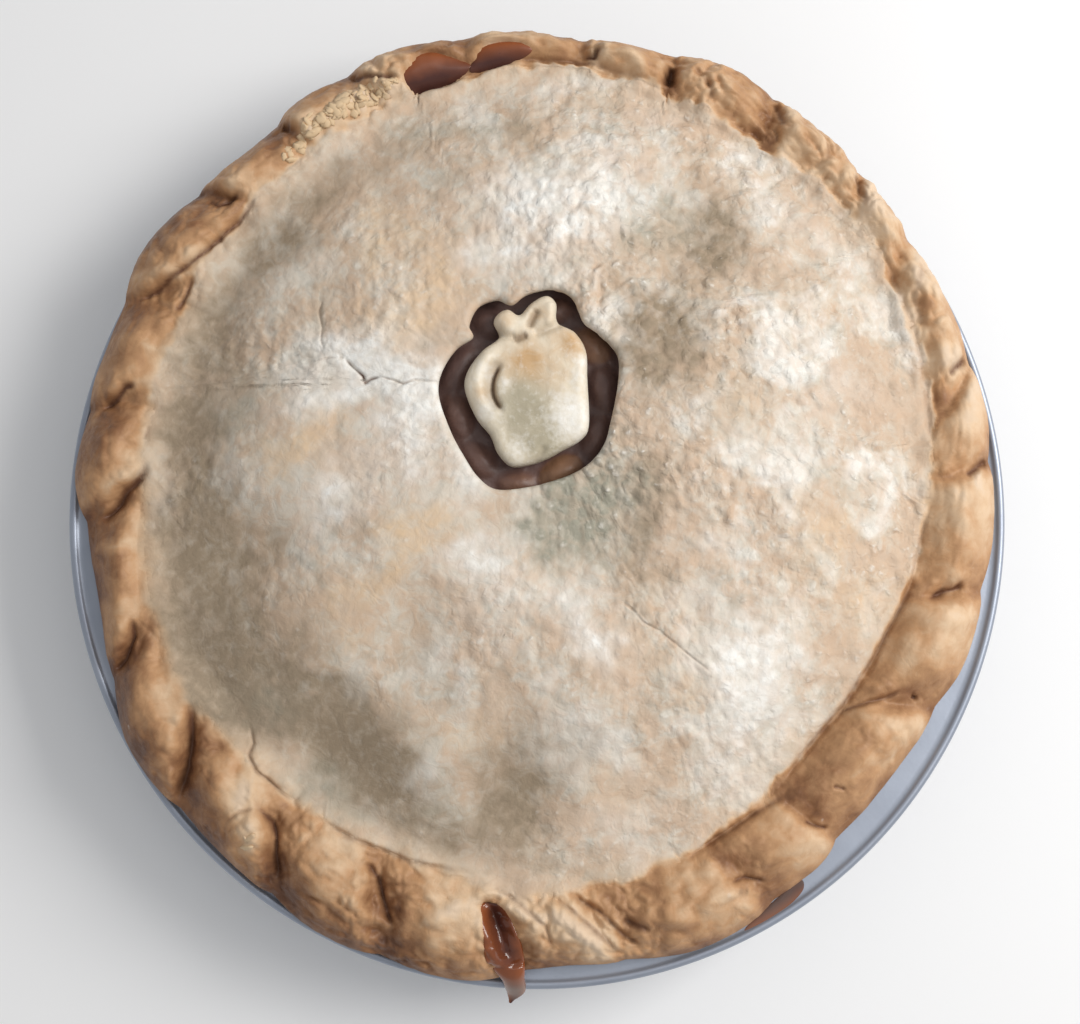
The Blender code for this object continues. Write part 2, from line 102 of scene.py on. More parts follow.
def strokeDistance(x, y, path):  # distance to a drawn line, and how far along it from 0 to 1
    best = np.full(np.shape(x), 1e9)
    along = np.zeros(np.shape(x))
    count = len(path) - 1
    for k in range(count):
        startX, startY = path[k]
        stepX, stepY = path[k + 1][0] - startX, path[k + 1][1] - startY
        share = np.clip(
            ((x - startX) * stepX + (y - startY) * stepY) / (stepX ** 2 + stepY ** 2), 0.0, 1.0
        )
        far = np.hypot(x - startX - share * stepX, y - startY - share * stepY)
        closer = far < best
        best = np.where(closer, far, best)
        along = np.where(closer, (k + share) / count, along)
    return best, along


def smoothRows(rows, steps):  # given rows, with eased rows between them
    rows = np.array(rows)
    places = np.linspace(0.0, len(rows) - 1.0, steps)
    index = np.clip(places.astype(int), 0, len(rows) - 2)
    t = (places - index)[:, None]
    before, here = rows[np.maximum(index - 1, 0)], rows[index]
    after, beyond = rows[index + 1], rows[np.minimum(index + 2, len(rows) - 1)]
    share = 2 * t ** 3 - 3 * t ** 2 + 1
    inward = (after - before) * 0.5 * (t ** 3 - 2 * t ** 2 + t)
    outward = (beyond - here) * 0.5 * (t ** 3 - t ** 2)
    return here * share + after * (1.0 - share) + inward + outward


def roundedOutline(points, perSide):  # closed outline through given points
    points = np.array(points)
    before = np.roll(points, 1, axis=0)
    after = np.roll(points, -1, axis=0)
    beyond = np.roll(points, -2, axis=0)
    t = (np.arange(perSide) / perSide)[None, :, None]
    share = 2 * t ** 3 - 3 * t ** 2 + 1
    slopeIn = ((after - before) * 0.5)[:, None]
    slopeOut = ((beyond - points) * 0.5)[:, None]
    outline = points[:, None] * share + after[:, None] * (1.0 - share)
    outline = outline + slopeIn * (t ** 3 - 2 * t ** 2 + t) + slopeOut * (t ** 3 - t ** 2)
    return outline.reshape(-1, 2)


def insideDistance(x, y, outline):  # distance to a closed outline, above 0 inside it
    closed = np.vstack([outline, outline[:1]])
    far = strokeDistance(x, y, closed)[0]
    crossings = np.zeros(np.shape(x), dtype=np.int64)
    for (x0, y0), (x1, y1) in zip(closed[:-1], closed[1:]):
        if y0 == y1:
            continue
        spans = (y0 > y) != (y1 > y)
        crossings += spans & (x < (x1 - x0) * (y - y0) / (y1 - y0) + x0)
    return np.where(crossings % 2 == 1, far, -far)


# Mesh makers

def addPiece(name, mesh, node=None, material=None):  # no material: the mesh has its own already
    if material:
        mesh.materials.clear()
        mesh.materials.append(material)
    piece = bpy.data.objects.new(name, mesh)
    bpy.context.scene.collection.objects.link(piece)
    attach(piece, "root")
    if node:
        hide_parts(node)
    return piece


def addMask(mesh, name, values):
    layer = mesh.attributes.new(name, "FLOAT", "POINT")
    layer.data.foreach_set("value", values.astype(np.float32))


def faceOutward(mesh, mended=False):  # mended: neighbouring faces are first made to agree
    builder = bmesh.new()
    builder.from_mesh(mesh)
    if mended:
        bmesh.ops.recalc_face_normals(builder, faces=builder.faces)
    if builder.calc_volume(signed=True) < 0.0:
        bmesh.ops.reverse_faces(builder, faces=builder.faces)
    builder.to_mesh(mesh)
    builder.free()


def evaluatedMesh(source, name):  # the mesh that an object's modifiers make, and the object gone
    evaluated = source.evaluated_get(bpy.context.evaluated_depsgraph_get())
    mesh = bpy.data.meshes.new_from_object(evaluated)
    bpy.data.objects.remove(source)
    mesh.name = name
    faceOutward(mesh, mended=True)
    return mesh


def ringsToMesh(name, grid, poles=(None, None), looped=False, masks=None):
    # grid is rings x columns x 3 in millimetres, poles close its ends, looped joins last to first
    rings, columns = grid.shape[:2]
    vertices = grid.reshape(-1, 3)
    extra = [pole for pole in poles if pole is not None]
    if extra:
        vertices = np.vstack([vertices, np.array(extra)])
    index = np.arange(rings * columns).reshape(rings, columns)
    after = np.roll(index, -1, axis=1)
    rows = rings if looped else rings - 1
    quads = np.stack([
        index[:rows], after[:rows],
        np.roll(after, -1, axis=0)[:rows], np.roll(index, -1, axis=0)[:rows],
    ], axis=-1).reshape(-1, 4)
    faces = quads.tolist()
    place = rings * columns
    if poles[0] is not None:
        faces += [[after[0, k], index[0, k], place] for k in range(columns)]
        place += 1
    if poles[1] is not None:
        faces += [[index[-1, k], after[-1, k], place] for k in range(columns)]
    mesh = bpy.data.meshes.new(name)
    mesh.from_pydata((vertices * mm).tolist(), [], faces)
    for maskName, values in (masks or {}).items():
        values = values.reshape(-1)
        values = np.concatenate([values, np.full(len(extra), values[-1])])
        addMask(mesh, maskName, values)
    faceOutward(mesh)
    mesh.shade_smooth()
    return mesh


def crowdedTurns(count, focus, width):  # angles all round, closer together near those in focus
    fine = np.linspace(0.0, 360.0, 7201)
    density = np.ones_like(fine)
    for turn in focus:
        away = np.abs((fine - turn + 180.0) % 360.0 - 180.0)
        density = np.maximum(density, 1.0 + 2.2 * bell(away, width))
    total = np.concatenate([[0.0], np.cumsum(density[:-1])])
    return np.interp(np.arange(count) / count * total[-1], total, fine)


def crowdedShares(x, y, count, paths):
    # shares along each column of x and y, closer together near the paths
    density = np.ones(x.shape)
    for path in paths:
        density = np.maximum(density, 1.0 + 2.6 * bell(strokeDistance(x, y, path)[0], 1.3))
    total = np.cumsum(density, axis=0)
    total = (total - total[:1]) / (total[-1:] - total[:1])
    steps = np.linspace(0.0, 1.0, len(x))
    wanted = np.linspace(0.0, 1.0, count)
    return np.column_stack([np.interp(wanted, total[:, k], steps) for k in range(x.shape[1])])


# Shader maths: a Wire is a socket that can be used in sums

class Wire:
    def __init__(self, tree, socket):
        self.tree = tree
        self.socket = socket

    def add(self, kind, settings=None, sockets=None, output=0):
        return addNode(self.tree, kind, settings, sockets, output)

    def sum(self, operation, first, second):
        return self.add("ShaderNodeMath", {"operation": operation}, {0: first, 1: second})

    def __add__(self, other):
        return self.sum("ADD", self, other)

    def __radd__(self, other):
        return self.sum("ADD", other, self)

    def __sub__(self, other):
        return self.sum("SUBTRACT", self, other)

    def __rsub__(self, other):
        return self.sum("SUBTRACT", other, self)

    def __mul__(self, other):
        return self.sum("MULTIPLY", self, other)

    def __rmul__(self, other):
        return self.sum("MULTIPLY", other, self)

    def limited(self):  # kept between 0 and 1
        return self.add("ShaderNodeClamp", None, {0: self})

    def between(self, low, high):  # 0 below low, 1 above high, smooth between them
        return self.add(
            "ShaderNodeMapRange",
            {"interpolation_type": "SMOOTHSTEP"},
            {0: self, 1: low, 2: high, 3: 0.0, 4: 1.0},
        )


def addNode(tree, kind, settings=None, sockets=None, output=0):
    node = tree.nodes.new(kind)
    for name, value in (settings or {}).items():
        if name == "stops":
            ramp = node.color_ramp
            while len(ramp.elements) < len(value):
                ramp.elements.new(0.5)
            for element, (place, colour) in zip(ramp.elements, value):
                element.position = place
                element.color = (*colour, 1.0)
        else:
            setattr(node, name, value)
    for name, value in (sockets or {}).items():
        if isinstance(value, Wire):
            tree.links.new(value.socket, node.inputs[name])
        elif isinstance(value, tuple) and len(value) == 3 and node.inputs[name].type == "RGBA":
            node.inputs[name].default_value = (*value, 1.0)
        else:
            node.inputs[name].default_value = value
    return Wire(tree, node.outputs[output])


def colourMix(first, second, share):
    source = next(item for item in (share, first, second) if isinstance(item, Wire))
    return source.add(
        "ShaderNodeMix", {"data_type": "RGBA"}, {0: share, 6: first, 7: second}, 2
    )


def newFinish(name, roughness, metallic=0.0, **constants):
    # a material with its Principled shader; constants go on the shader's own sockets
    material = bpy.data.materials.new(name)
    material.use_nodes = True
    tree = material.node_tree
    shader = tree.nodes["Principled BSDF"]
    shader.inputs["Roughness"].default_value = roughness
    shader.inputs["Metallic"].default_value = metallic
    for socketName, value in constants.items():
        shader.inputs[socketName.replace("_", " ")].default_value = value
    return material, tree, shader


def feed(tree, shader, socketName, wire):
    tree.links.new(wire.socket, shader.inputs[socketName])


def noiseOf(tree, place, scale, detail=3.0, roughness=0.55, distortion=0.0):
    return addNode(tree, "ShaderNodeTexNoise", {"noise_dimensions": "3D"}, {
        "Vector": place, "Scale": scale, "Detail": detail,
        "Roughness": roughness, "Distortion": distortion,
    })


def voronoiOf(tree, place, scale):  # distance to the middle of the nearest cell
    settings = {"voronoi_dimensions": "3D"}
    return addNode(tree, "ShaderNodeTexVoronoi", settings, {"Vector": place, "Scale": scale})


def maskOf(tree, name):
    return addNode(tree, "ShaderNodeAttribute", {"attribute_name": name}, None, 2)


def layered(colour, look, layers):  # each named colour laid over the ones before it, by its share
    for name, share in layers:
        colour = colourMix(colour, look[name], share.limited())
    return colour


def bumped(tree, shader, height, strength, distance):
    feed(tree, shader, "Normal", addNode(tree, "ShaderNodeBump", None, {
        "Strength": strength, "Distance": distance, "Height": height,
    }))


def fromScreen(red, green, blue):  # a colour as it is seen on a screen, as the shader's numbers
    return tuple(
        (part / 255.0 / 12.92) if part < 11 else ((part / 255.0 + 0.055) / 1.055) ** 2.4
        for part in (red, green, blue)
    )


# Camera, floor and light

view = {
    "tilt": 6.0,           # degrees off straight down, from the near side
    "distance": 450.0,     # to the middle of the tin's rim, in millimetres
    "aimHeight": 35.0,     # of that middle
    "focalPixels": 1728.0,
    "aimPixel": (537.0, 510.5),
    "photo": (1080.0, 1024.0),
}
light = {
    "sky": 0.46,
    "skyColour": (0.97, 0.98, 1.0),
    "keyPower": 5.3,
    "keySize": 0.42,
    "keyPlace": (0.6, 0.17, 0.63),
    "keyColour": (1.0, 0.985, 0.965),
    "panelPower": 1.2,
    "panelSize": (0.55, 0.8),
    "panelPlace": (0.42, -0.06, 1.0),
    "target": (0.0, 0.0, 0.03),
    "floorColour": (0.9, 0.9, 0.9, 1.0),
    "floorSize": 3.0,
}


def addLight(name, place, power, width, depth):  # a soft rectangle of light, turned to the pie
    data = bpy.data.lights.new(name, "AREA")
    data.shape = "RECTANGLE"
    data.size, data.size_y = width, depth
    data.energy = power
    data.color = light["keyColour"]
    lamp = bpy.data.objects.new(name, data)
    lamp.location = place
    way = Vector(light["target"]) - lamp.location
    lamp.rotation_euler = way.to_track_quat("-Z", "Y").to_euler()
    bpy.context.scene.collection.objects.link(lamp)


def makeStage():
    floorMaterial = newFinish("paleFloor", 0.9, Base_Color=light["floorColour"])[0]
    builder = bmesh.new()
    bmesh.ops.create_grid(builder, x_segments=1, y_segments=1, size=light["floorSize"])
    mesh = bpy.data.meshes.new("floor")
    builder.to_mesh(mesh)
    builder.free()
    mesh.materials.append(floorMaterial)
    floor = bpy.data.objects.new("floor", mesh)
    bpy.context.scene.collection.objects.link(floor)

    world = bpy.data.worlds.new("studio")
    bpy.context.scene.world = world
    world.use_nodes = True
    background = world.node_tree.nodes["Background"]
    background.inputs["Color"].default_value = (*light["skyColour"], 1.0)
    background.inputs["Strength"].default_value = light["sky"]

    addLight("keyLight", light["keyPlace"], light["keyPower"], light["keySize"], light["keySize"])
    addLight("panelLight", light["panelPlace"], light["panelPower"], *light["panelSize"])
    bpy.context.scene.view_settings.view_transform = "Standard"


def makeCamera():
    rimMiddle = Vector((0.0, 0.0, view["aimHeight"] * mm))
    tilt = math.radians(view["tilt"])
    back = Vector((0.0, -math.sin(tilt), math.cos(tilt)))
    data = bpy.data.cameras.new("photoCamera")
    data.sensor_width = 36.0
    data.lens = view["focalPixels"] / view["photo"][0] * data.sensor_width
    data.shift_x = (view["photo"][0] / 2.0 - view["aimPixel"][0]) / view["photo"][0]
    data.shift_y = (view["aimPixel"][1] - view["photo"][1] / 2.0) / view["photo"][0]
    data.clip_start = 0.01
    camera = bpy.data.objects.new("photoCamera", data)
    camera.location = rimMiddle + back * view["distance"] * mm
    camera.rotation_euler = (tilt, 0.0, 0.0)
    bpy.context.scene.collection.objects.link(camera)
    bpy.context.scene.camera = camera


makeStage()
makeCamera()
print("stage, light and camera are set")


# The crust's form, as in the solids

tinForm = {
    "baseRadius": 93.0, "mouthRadius": 109.0, "rimRadius": 122.0,
    "height": 35.0, "wall": 0.8, "bead": 1.2, "corner": 4.0,
}
crustForm = {
    "wall": 4.6, "lidThickness": 4.0, "lidTop": 61.0, "foldHeight": 40.5,
    "lidCentre": (-1.0, 9.0), "fullness": 2.3, "crimpRise": 5.2, "edgeDrop": 3.4, "edgeTop": 44.5,
    "swell": 1.3, "usualSwell": 0.7,
    "ventCentre": (-2.0, 28.0), "ventDepth": 6.6, "gap": 0.35, "lean": 1.4, "creaseOnset": 0.4,
}

# Each crimp, anticlockwise from +X: crease angle, its slant, its depth, reach, radius of the lid's fold
crimps = np.array([
    (6.0, 2.0, 0.5, 119.5, 102.0), (18.5, 7.5, 0.8, 120.5, 107.0), (36.0, 2.0, 0.6, 122.5, 111.5),
    (46.5, 4.0, 0.7, 125.5, 112.5), (60.0, 2.0, 0.9, 128.5, 113.0), (73.0, 0.5, 1.0, 126.0, 115.5),
    (84.5, 0.5, 1.0, 127.5, 116.5), (99.0, 1.0, 0.6, 128.5, 114.5), (113.5, 3.0, 0.6, 126.0, 110.5),
    (124.0, 2.0, 0.6, 122.0, 108.5), (137.0, 4.0, 0.8, 124.0, 106.0), (153.0, 6.5, 0.9, 120.0, 101.5),
    (167.5, 4.0, 0.7, 120.0, 101.5), (181.5, 5.0, 1.0, 115.0, 100.5), (202.0, 7.0, 0.9, 120.5, 101.0),
    (220.0, 10.0, 1.0, 118.5, 97.5), (235.5, 7.5, 0.9, 120.5, 95.5), (250.5, 6.0, 0.9, 120.5, 94.5),
    (267.5, 5.5, 0.9, 115.5, 97.5), (281.0, 5.5, 0.9, 118.5, 96.0), (301.0, 3.5, 0.7, 115.5, 94.5),
    (312.0, 2.5, 0.7, 113.0, 92.5), (333.5, 4.5, 0.8, 116.5, 94.5), (349.5, 3.0, 0.8, 118.0, 99.0),
])
# Lumps and hollows of the lid: x, y, radius, height
lumps = [
    (-38.0, 52.0, 20.0, 2.6), (-62.0, 14.0, 18.0, 2.4), (-27.0, -8.0, 16.0, 3.0),
    (-50.0, -27.0, 16.0, 2.2), (8.0, 78.0, 20.0, 2.6), (42.0, 24.0, 17.0, 2.2),
    (70.0, -4.0, 18.0, 2.8), (50.0, -42.0, 18.0, 2.4), (14.0, -48.0, 15.0, 2.4),
    (66.0, 44.0, 18.0, 2.4), (-30.0, -66.0, 13.0, 1.8), (-70.0, 50.0, 16.0, 1.8),
    (36.0, 66.0, 15.0, -3.4), (14.0, -10.0, 15.0, -3.0), (-30.0, -34.0, 12.0, -2.6),
    (-50.0, -64.0, 13.0, -2.8), (-6.0, -72.0, 13.0, -2.8), (34.0, -76.0, 14.0, -1.6),
    (-74.0, -12.0, 12.0, -1.8), (84.0, 26.0, 12.0, -1.6),
]
ventOutline = [
    (-16.9, 44.0), (-14.7, 48.8), (-10.1, 50.7), (-6.3, 49.4), (-2.4, 52.0), (3.6, 53.3),
    (8.7, 51.2), (11.6, 45.0), (15.9, 41.4), (20.0, 36.6), (20.1, 29.3), (18.2, 19.4),
    (16.3, 13.4), (11.6, 8.3), (4.0, 4.9), (-4.0, 3.0), (-10.4, 2.8), (-14.6, 5.8),
    (-18.0, 10.9), (-21.4, 17.3), (-24.4, 26.3), (-23.6, 32.3), (-20.2, 37.9), (-16.0, 41.0),
]
appleOutline = [
    (-10.9, 45.1), (-9.4, 47.6), (-7.1, 48.4), (-4.4, 47.0), (-1.5, 50.0), (2.3, 52.0),
    (4.8, 50.0), (5.1, 45.3), (9.6, 42.5), (12.3, 37.7), (12.6, 30.8), (13.0, 19.6),
    (11.2, 15.7), (6.1, 12.7), (2.3, 10.6), (-2.4, 9.1), (-6.6, 8.9), (-9.8, 12.1),
    (-11.7, 16.6), (-15.1, 20.9), (-18.0, 27.8), (-17.5, 32.5), (-13.9, 37.7), (-9.6, 41.3),
]
flangeTop = tinForm["height"] - tinForm["bead"] + tinForm["wall"] / 2.0


def crimpAt(turn):
    turn = np.mod(turn, 360.0)
    starts = crimps[:, 0]
    widths = np.mod(np.roll(starts, -1) - starts, 360.0)
    index = np.mod(np.searchsorted(starts, turn, side="right") - 1, len(starts))
    return index, np.mod(turn - starts[index], 360.0) / widths[index]


def betweenCreases(turn, column):
    index, along = crimpAt(turn)
    values = crimps[:, column]
    return blend(values[index], np.roll(values, -1)[index], along)


def betweenCrimps(turn, column):
    index, along = crimpAt(turn)
    values = crimps[:, column]
    other = np.where(along > 0.5, np.roll(values, -1)[index], np.roll(values, 1)[index])
    return blend(values[index], other, ease(np.abs(along - 0.5)))


def pillow(turn):
    along = crimpAt(turn)[1] ** crustForm["lean"]
    return 1.0 - np.abs(2.0 * along - 1.0) ** 3.0


def polar(radius, turn, height):
    angle = np.radians(turn)
    return np.stack(np.broadcast_arrays(radius * np.cos(angle), radius * np.sin(angle), height), axis=-1)


def foldPoint(turn):
    return polar(betweenCrimps(turn, 4), turn - betweenCreases(turn, 1), 0.0)


def reachAt(turn, swell):  # how far out the rope edge reaches
    return betweenCrimps(turn, 3) + crustForm["swell"] * (swell - crustForm["usualSwell"])


def ropeHeight(turn, across, swell):  # the rope edge's height, a share of the way out from the lid's fold
    height = 1.0 - betweenCreases(turn, 2) * (1.0 - swell) * ease(across / crustForm["creaseOnset"])
    ridge = np.clip(np.sin(np.pi * across ** 0.9), 0.0, 1.0) ** 0.8
    rise = crustForm["crimpRise"] * ridge * height
    return crustForm["foldHeight"] + rise - crustForm["edgeDrop"] * across ** 3.0


foldTurns = np.arange(0.0, 360.0, 1.0)
foldPlaces = foldPoint(foldTurns)[:, :2] - np.array(crustForm["lidCentre"])
foldOrder = np.argsort(np.arctan2(foldPlaces[:, 1], foldPlaces[:, 0]))
foldAngles = np.arctan2(foldPlaces[:, 1], foldPlaces[:, 0])[foldOrder]
foldDistances = np.hypot(foldPlaces[:, 0], foldPlaces[:, 1])[foldOrder]


foldOutline = foldPoint(np.arange(0.0, 360.0, 0.5))[:, :2]


def foldDistance(x, y):  # how far inside the lid's fold a place is, below 0 out on the rope edge
    awayX = x - crustForm["lidCentre"][0]
    awayY = y - crustForm["lidCentre"][1]
    edge = np.interp(np.arctan2(awayY, awayX), foldAngles, foldDistances, period=2.0 * np.pi)
    return edge - np.hypot(awayX, awayY), edge


def lidHeight(x, y):
    inside, edge = foldDistance(x, y)
    share = np.clip(1.0 - inside / edge, 0.0, 1.0)
    total = sum(
        height * np.exp(-((x - lumpX) ** 2 + (y - lumpY) ** 2) / radius ** 2)
        for lumpX, lumpY, radius, height in lumps
    )
    dome = (crustForm["lidTop"] - crustForm["foldHeight"]) * (1.0 - share ** crustForm["fullness"])
    return crustForm["foldHeight"] + dome + total * ease((1.0 - share) * 5.0)


def edgeHeight(x, y):  # the rope edge's height over a place outside the fold
    angle = np.degrees(np.arctan2(y, x))
    radius = np.hypot(x, y)
    turn = angle
    for step in range(3):
        swell = pillow(turn)
        foldRadius = betweenCrimps(turn, 4)
        across = np.clip((radius - foldRadius) / (reachAt(turn, swell) - foldRadius), 0.0, 1.0)
        turn = angle + betweenCreases(turn, 1) * (1.0 - across)
    return ropeHeight(turn, across, swell), across, crimpAt(turn)[1]


def wallRadius(height):
    rise = (height - tinForm["wall"]) / (flangeTop - tinForm["wall"])
    return blend(tinForm["baseRadius"], tinForm["mouthRadius"], rise) - tinForm["wall"]


def underEdge(radius):
    beadStart = tinForm["rimRadius"] - 2.0 * tinForm["bead"] - 1.4
    return flangeTop + crustForm["gap"] + (tinForm["height"] - flangeTop) * ease((radius - beadStart) / 1.2)


# Baked crust: relief and colour masks over the plan

crustLook = {
    # relief, in millimetres
    "lumpSize": 13.0, "lumpHeight": 0.55,
    "dimpleSize": 5.5, "dimpleHeight": 0.3,
    "edgeLumpSize": 8.0, "edgeLumpHeight": 0.7,
    "plateSize": 5.4, "plateHeight": 1.5, "crumbleHeight": 2.8,   # puffs with sharp creases between them
    "blisterPitch": 3.6, "blisterHeight": 0.6,
    "fineBlisterPitch": 2.1, "fineBlisterHeight": 0.24,
    "twistHeight": 1.5,      # how far each crimp rises towards the slit at its end
    "pocketDepth": 0.2,      # how far the crust is sunk below a pool of syrup
    "highest": 60.9,         # relief above this height is flattened
    # colours
    "pale": fromScreen(210, 202, 188),
    # whitish: flour, and the painted highlight on the blisters' tops
    "flour": fromScreen(236, 231, 222),
    "tan": fromScreen(213, 183, 149),
    "golden": fromScreen(190, 147, 107),
    "brown": fromScreen(142, 101, 69),
    "peach": fromScreen(222, 192, 160),
    # the darkest bake, and the painted shade in the slits, cracks and folds
    "dark": fromScreen(104, 70, 50),
    "warm": fromScreen(222, 193, 158),
    "damp": fromScreen(153, 136, 114),   # greyish over the hollows and down the left side: partly the dough's own tone, partly painted shade
    # cooler grey: partly the dough's own tone, partly painted shade in the lid's hollows
    "cool": fromScreen(158, 154, 138),
    "frost": fromScreen(242, 240, 234),
    "blush": fromScreen(202, 174, 148),
}
# Where marks taken from the photo's pixels lie: height above the table, millimetres a pixel
lidScale = (57.0, 0.246)
edgeScale = (45.0, 0.258)
poolLevel = 43.5
poolMiddle = (-22.0, 117.0)     # the pools on the crust lie round this place, within the reach
poolReach = 30.0
# The seeds of the patches' ragged outlines
patchSeeds = {"damp": 61, "cool": 101, "warm": 71, "pale": 81}
# The lid's soft patches, by the photo's pixels: middle, half length and half width, turn, strength. The grey
# and cool patches are partly painted shade of the lid's hollows and of its slopes turned from the light
lidPaint = {
    "damp": [
        (200, 565, 78, 95, 0, 1.1), (215, 690, 78, 54, 0, 1.1), (184, 420, 40, 75, 0, 0.9),
        (215, 330, 60, 55, 0, 0.6), (230, 262, 84, 30, 38, 0.5), (290, 230, 60, 45, 20, 0.5),
        (330, 170, 70, 30, 25, 0.55), (420, 125, 40, 25, 10, 0.35), (520, 115, 30, 35, 0, 0.5),
        (350, 748, 95, 44, -48, 1.7), (510, 810, 42, 55, 0, 1.3), (440, 850, 50, 22, -15, 0.45),
        (560, 870, 40, 14, 0, 0.35), (415, 650, 25, 40, 0, 0.5), (715, 230, 34, 40, 0, 1.3),
        (662, 335, 38, 66, 0, 1.5), (560, 740, 70, 30, 0, 0.45), (730, 390, 40, 60, 0, 0.4),
        (640, 545, 24, 52, 0, 0.75), (650, 480, 25, 34, 0, 0.5), (700, 165, 20, 20, 0, 0.3),
        (625, 282, 24, 16, 0, 0.4), (905, 430, 12, 40, 0, 0.2),
    ],
    # cool grey patches, partly painted shade in the hollows by the vent and to the upper right
    "cool": [
        (575, 512, 58, 42, 0, 1.4), (545, 560, 24, 20, 0, 0.4), (620, 470, 26, 30, 0, 0.5),
        (650, 222, 48, 42, 0, 0.65), (610, 425, 16, 30, 0, 0.5), (480, 118, 62, 26, 0, 0.45),
        (420, 108, 40, 20, 0, 0.4), (228, 402, 38, 38, 0, 0.55), (320, 312, 22, 20, 0, 0.4),
        (265, 705, 50, 30, 0, 0.5), (335, 800, 70, 20, -30, 0.6), (440, 820, 30, 20, 0, 0.4),
        (830, 462, 22, 46, 30, 0.35), (905, 452, 16, 30, 0, 0.35), (700, 615, 30, 24, 0, 0.3),
        (600, 560, 24, 20, 0, 0.4), (520, 660, 24, 20, 0, 0.25), (750, 210, 20, 30, 0, 0.3),
    ],
    "warm": [
        (296, 442, 56, 24, 28, 0.8), (335, 482, 46, 28, 0, 0.4), (415, 522, 48, 24, 35, 0.8),
        (388, 574, 66, 15, 28, 0.75), (368, 242, 22, 44, 0, 0.7), (420, 222, 36, 30, 0, 0.5),
        (440, 284, 42, 42, 0, 0.65), (395, 325, 44, 32, 0, 0.7), (340, 640, 40, 40, 0, 0.4),
        (470, 732, 50, 28, 0, 0.45), (730, 400, 40, 50, 0, 0.4), (700, 292, 30, 20, 0, 0.3),
        (832, 530, 40, 46, 0, 0.55), (700, 690, 30, 35, 0, 0.4), (640, 650, 20, 30, 0, 0.3),
        (870, 600, 40, 30, 60, 0.5), (790, 742, 40, 26, 40, 0.35), (600, 800, 60, 30, 0, 0.25),
        (530, 132, 14, 20, 0, 0.35), (480, 172, 14, 14, 0, 0.35),
    ],
    "pale": [
        (555, 202, 78, 42, -10, 0.95), (500, 255, 54, 24, 0, 0.85), (610, 160, 40, 30, 0, 0.6),
        (345, 350, 42, 26, -25, 0.9), (412, 385, 52, 34, -10, 1.6), (320, 402, 50, 18, 10, 0.7),
        (470, 470, 30, 24, 0, 0.5), (330, 502, 46, 44, 0, 0.7), (410, 450, 40, 40, 0, 0.7),
        (470, 560, 44, 22, 20, 0.6), (500, 600, 50, 40, 0, 0.45), (592, 636, 46, 20, -45, 0.8),
        (740, 690, 44, 82, 0, 0.85), (782, 640, 40, 40, 0, 0.5), (830, 382, 40, 60, 0, 0.4),
        (790, 470, 24, 40, 0, 0.4), (740, 450, 30, 24, 0, 0.5), (780, 200, 50, 28, 0, 0.4),
        (830, 232, 38, 26, 0, 0.3), (740, 150, 20, 12, 0, 0.6), (660, 100, 46, 28, 0, 0.4),
        (462, 680, 16, 24, 0, 0.5), (420, 772, 26, 20, 0, 0.4), (350, 692, 20, 14, 0, 0.3),
        (620, 830, 60, 34, 0, 0.35), (560, 742, 50, 28, 0, 0.3), (720, 542, 20, 20, 0, 0.5),
        (620, 762, 30, 20, 0, 0.3),
    ],
}
# How brown the rope edge is round the pie, browner down the left and lower left partly as painted shade of
# the side turned from the light: angle, share by the lid, share at its outer side
edgeBrowningAndShade = [
    (0.0, 0.5, 0.48), (14.0, 0.46, 0.46), (30.0, 0.36, 0.32), (45.0, 0.32, 0.34), (60.0, 0.58, 0.54),
    (75.0, 0.68, 0.64), (90.0, 0.6, 0.58), (115.0, 0.54, 0.64), (135.0, 0.56, 0.7), (155.0, 0.58, 0.7),
    (180.0, 0.54, 0.74), (195.0, 0.6, 0.84), (215.0, 0.62, 0.9), (230.0, 0.52, 0.84), (245.0, 0.54, 0.88),
    (262.0, 0.44, 0.72), (278.0, 0.48, 0.56), (291.0, 0.66, 0.7), (305.0, 0.62, 0.6), (318.0, 0.62, 0.56),
    (330.0, 0.6, 0.52), (345.0, 0.54, 0.48),
]
# How the browning runs on over the lid: angle, share, reach in millimetres
lidBrowning = [
    (0.0, 0.12, 5.0), (60.0, 0.1, 5.0), (90.0, 0.1, 5.0), (120.0, 0.1, 6.0), (145.0, 0.12, 8.0),
    (180.0, 0.16, 8.0), (215.0, 0.2, 9.0), (235.0, 0.16, 8.0), (270.0, 0.14, 6.0), (310.0, 0.08, 5.0),
]
